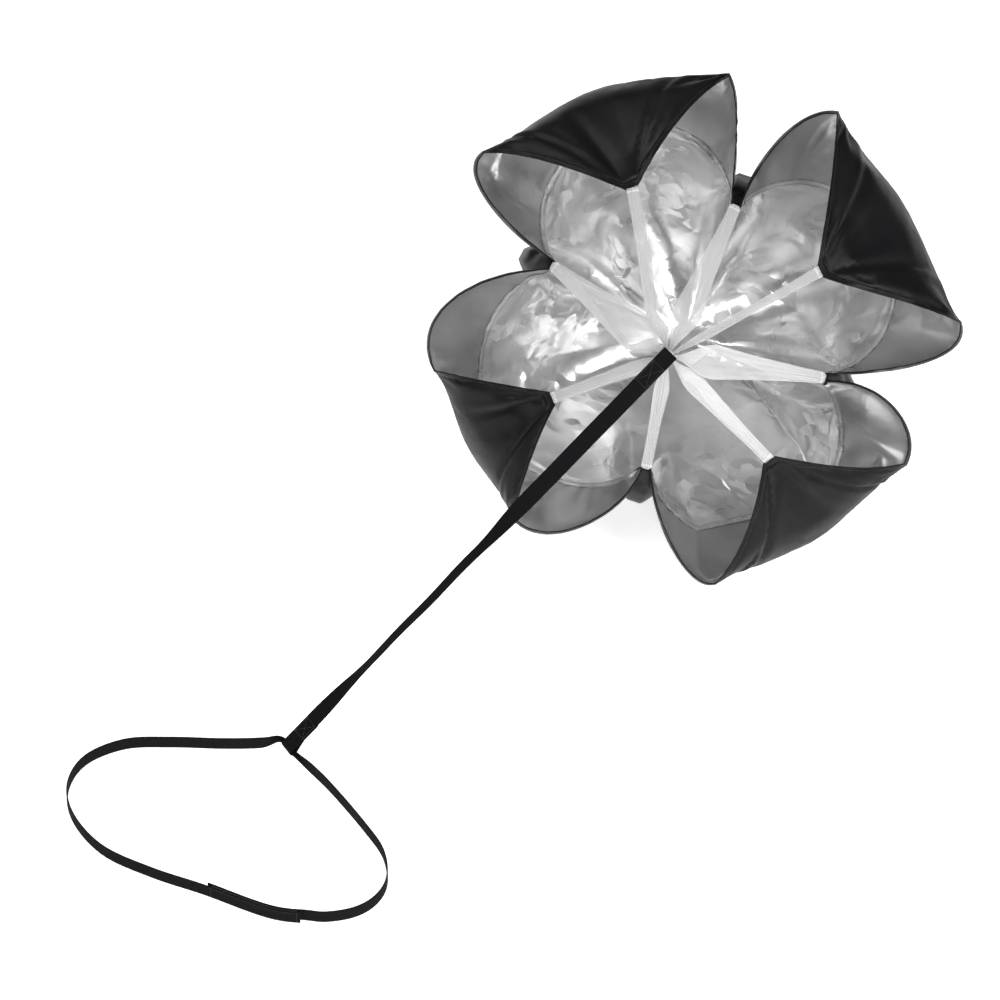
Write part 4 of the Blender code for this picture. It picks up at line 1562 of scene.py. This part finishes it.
class CHUTE_OT_belt(bpy.types.Operator):
    """Make the waist belt, its tail and the hook and loop tapes"""

    bl_idname = "chute.belt"
    bl_label = "Waist belt"

    def execute(self, context):
        settings = context.scene.chute_webbing
        width, wall = settings.webbing_width, settings.webbing_wall
        places = strap_places(width)
        eye, eye_way = places["eye"], places["eye_way"]
        half = width / 2 + eye_side_gap
        away = eye_way if eye_way.y < 0 else -eye_way
        right, left = eye + away * half, eye - away * half
        knots = [right]
        knots += [eye + Vector((x * belt_span, y * belt_reach, 0.0)) for x, y in belt_shares]
        knots.append(left)
        line = smooth_line(knots, eye, eye, 12)
        total = length_of(line)
        fold_at = total * tail_hinge_share
        tail_end_at = fold_at - overlap_length

        def frame_at(distance):
            step = total / len(line)
            point = along(line, distance)
            direction = (along(line, distance + step) - along(line, max(distance - step, 0.0))).normalized()
            return point, direction.cross(up).normalized()

        def stacked(layers):
            own = tape_wall if layers < 3 else cad_wall
            return cad_wall / 2 + tape_wall * (layers - 1) + own / 2 + seat_gap * layers

        spine, gathers = [], []
        inner_end = fold_at - fold_gap
        for step in range(inner_belt_steps):
            distance = inner_end * (1 - step / inner_belt_steps)
            point, inward = frame_at(distance)
            tucked = eased((distance - tail_end_at + belt_neck) / belt_neck)
            spine.append((point + inward * (stacked(3) * tucked), up))
            gathers.append(1 - eased(distance / belt_neck))
        for step in range(7):
            spine.append((right.lerp(left, step / 6), up))
            gathers.append(1.0)
        for step in range(1, belt_steps + 1):
            distance = total + (fold_at + seat_gap - total) * step / belt_steps
            point = frame_at(distance)[0]
            spine.append((point, up))
            gathers.append(1 - eased((total - distance) / belt_neck))
        belt = flat_webbing("belt_webbing", spine, width, wall, "webbing", gathers)
        stand_for(belt, "waist_belt", "waist_belt")

        def layer(start, stop, offset):
            rows = []
            for step in range(layer_steps + 1):
                point, inward = frame_at(start + (stop - start) * step / layer_steps)
                rows.append((point + inward * offset, up))
            return rows

        tape_start, tape_stop = fold_at - belt_neck * 0.25, tail_end_at + belt_neck * 0.125
        tail_rows = layer(fold_at - seat_gap, tail_end_at, 0.0)
        hook_rows = layer(tape_start, tape_stop, stacked(1) - 0.0003)
        loop_rows = layer(tape_start, tape_stop, stacked(2) + 0.0002)
        for name, rows, across_it, thickness, finish_name, body, node, finish_slot in (
            ("tail_webbing", tail_rows, width, wall, "webbing", "belt_tail", "belt_tail", "webbing"),
            ("hook_strip", hook_rows, tape_width, 0.0007, "hooks", "belt_tail", "hook_tape", "hook"),
            ("loop_strip", loop_rows, tape_width, 0.0009, "pile", "waist_belt", "loop_tape", "loop_pile"),
        ):
            piece = flat_webbing(name, rows, across_it, thickness, finish_name)
            stand_for(piece, body, node)
        for name, out, side, body, finish_name, spacing in (
            ("hook_field", stacked(1), 1, "belt_tail", "hooks", 0.0013),
            ("loop_field", stacked(2) - 0.0003, -1, "waist_belt", "pile", 0.0012),
        ):
            self.tape_face(name, layer(tape_start, tape_stop, out), side, body, finish_name, spacing)

        out = -cad_wall / 2 - 0.0001
        reach = 0.40
        rows = layer(tape_start, tape_stop, out)
        lines = [[point + way * (width * height) for point, way in rows] for height in (-reach, reach)]
        for point, way in (rows[0], rows[-1]):
            lines.append([point + way * (width * height) for height in (-reach, 0.0, reach)])
        stitches("tail_stitches", lines, "black thread", "belt_tail")
        return {"FINISHED"}

    def tape_face(self, name, rows, side, body, finish_name, spacing):
        """Hooks or loops over one face of a tape."""
        half = tape_width * 0.45 * side
        sheet_rows = [[middle + way * (half * share) for share in (-1, 0, 1)] for middle, way in rows]
        piece = bpy.data.objects.new(name, grid_mesh(name, sheet_rows))
        bpy.context.scene.collection.objects.link(piece)
        sizes = {"spacing": spacing, "height": 0.0006, "wire": 0.00008}
        run_tree(piece, tape_tree(), finish=finish_of(finish_name), **sizes)
        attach(piece, body)


class CHUTE_OT_stage(bpy.types.Operator):
    """Make the floor, the soft studio light and the camera at the photograph's angle"""

    bl_idname = "chute.stage"
    bl_label = "Stage"

    def execute(self, context):
        scene = context.scene
        scene.view_settings.view_transform = "Standard"
        mesh = bpy.data.meshes.new("floor")
        half = 14.0
        corners = [(half * x, half * y, 0) for x, y in ((-1, -1), (1, -1), (1, 1), (-1, 1))]
        mesh.from_pydata(corners, [], [(0, 1, 2, 3)])
        floor = bpy.data.objects.new("floor", mesh)
        scene.collection.objects.link(floor)
        floor.location.z = -0.0008
        # Matt white board: it keeps the object's shadow, and is lifted to white only where it is seen
        material, tree, shader = new_material("pale floor", colour_of("#fafafa"), 0.9, Specular_IOR_Level=0.1)
        rays = add_node(tree, "ShaderNodeLightPath")
        seen = rays.outputs["Is Camera Ray"]
        for kind in ("Is Glossy Ray", "Is Transmission Ray"):
            seen = add_node(
                tree, "ShaderNodeMath", {0: rays.outputs[kind], 1: seen}, operation="MAXIMUM"
            ).outputs[0]
        lift = add_node(tree, "ShaderNodeMath", {0: seen, 1: 0.7}, operation="MULTIPLY")
        shader.inputs["Emission Color"].default_value = (1.0, 1.0, 1.0, 1.0)
        tree.links.new(lift.outputs[0], shader.inputs["Emission Strength"])
        mesh.materials.append(material)

        world = bpy.data.worlds.new("studio")
        scene.world = world
        world.use_nodes = True
        tree = world.node_tree
        background = tree.nodes["Background"]
        background.inputs["Color"].default_value = (1.0, 1.0, 1.0, 1.0)
        background.inputs["Strength"].default_value = 0.15

        middle = (0.0, 0.0, 0.2)
        for name, place, target, size, power in (
            ("key", (2.0, -1.7, 2.4), middle, 1.7, 72.0),
            ("low", (0.3, -3.1, 1.2), middle, 1.3, 48.0),
            ("left", (-2.0, -1.7, 2.2), middle, 1.0, 27.0),
            ("back", (-1.7, 0.9, 2.6), (-0.1, -0.1, 0.2), 1.4, 28.0),
        ):
            lamp = bpy.data.lights.new(name, "AREA")
            lamp.shape = "SQUARE"
            lamp.size = size
            lamp.energy = power
            holder = bpy.data.objects.new(name, lamp)
            scene.collection.objects.link(holder)
            holder.location = place
            holder.rotation_euler = (Vector(target) - Vector(place)).to_track_quat("-Z", "Y").to_euler()

        lens, tilt, view_width = 300.0, math.radians(50.0), 1.5
        look = bpy.data.cameras.new("camera")
        look.lens = lens
        look.sensor_width = 36.0
        look.sensor_fit = "HORIZONTAL"
        look.clip_end = 100.0
        holder = bpy.data.objects.new("camera", look)
        scene.collection.objects.link(holder)
        side = Vector((1.0, 0.0, 0.0))
        rise = Vector((0.0, math.sin(tilt), math.cos(tilt)))
        back = Vector((0.0, -math.cos(tilt), math.sin(tilt)))
        # The canopy stands right of and above the middle of the photograph
        target = Vector((0.0, canopy_setback, canopy_height)) - side * 0.285 - rise * 0.255
        holder.matrix_world = Matrix.Translation(target + back * (lens / 36.0 * view_width)) @ (
            Matrix((side, rise, back)).transposed().to_4x4()
        )
        scene.camera = holder
        return {"FINISHED"}


class CHUTE_PT_panel(bpy.types.Panel):
    """Lists the pieces and their settings"""

    bl_idname = "CHUTE_PT_panel"
    bl_label = "Speed parachute"
    bl_space_type = "VIEW_3D"
    bl_region_type = "UI"
    bl_category = "Parachute"

    def draw(self, context):
        for group in ("chute_canopy", "chute_strips", "chute_webbing"):
            settings = getattr(context.scene, group)
            box = self.layout.box()
            for name in settings.__annotations__:
                box.prop(settings, name)
        for operator in operators:
            self.layout.operator(operator.bl_idname)


operators = (
    CHUTE_OT_stage,
    CHUTE_OT_tow_strap,
    CHUTE_OT_canopy,
    CHUTE_OT_hems,
    CHUTE_OT_strips,
    CHUTE_OT_belt,
)
setting_groups = {
    "chute_canopy": CanopySettings,
    "chute_strips": StripSettings,
    "chute_webbing": WebbingSettings,
}


def register():
    for name, group in setting_groups.items():
        bpy.utils.register_class(group)
        setattr(bpy.types.Scene, name, bpy.props.PointerProperty(type=group))
    for operator in operators:
        bpy.utils.register_class(operator)
    bpy.utils.register_class(CHUTE_PT_panel)


def unregister():
    bpy.utils.unregister_class(CHUTE_PT_panel)
    for operator in reversed(operators):
        bpy.utils.unregister_class(operator)
    for name, group in setting_groups.items():
        delattr(bpy.types.Scene, name)
        bpy.utils.unregister_class(group)


def main():
    register()
    for operator in operators:
        family, name = operator.bl_idname.split(".")
        getattr(getattr(bpy.ops, family), name)()


if __name__ == "__main__":
    main()
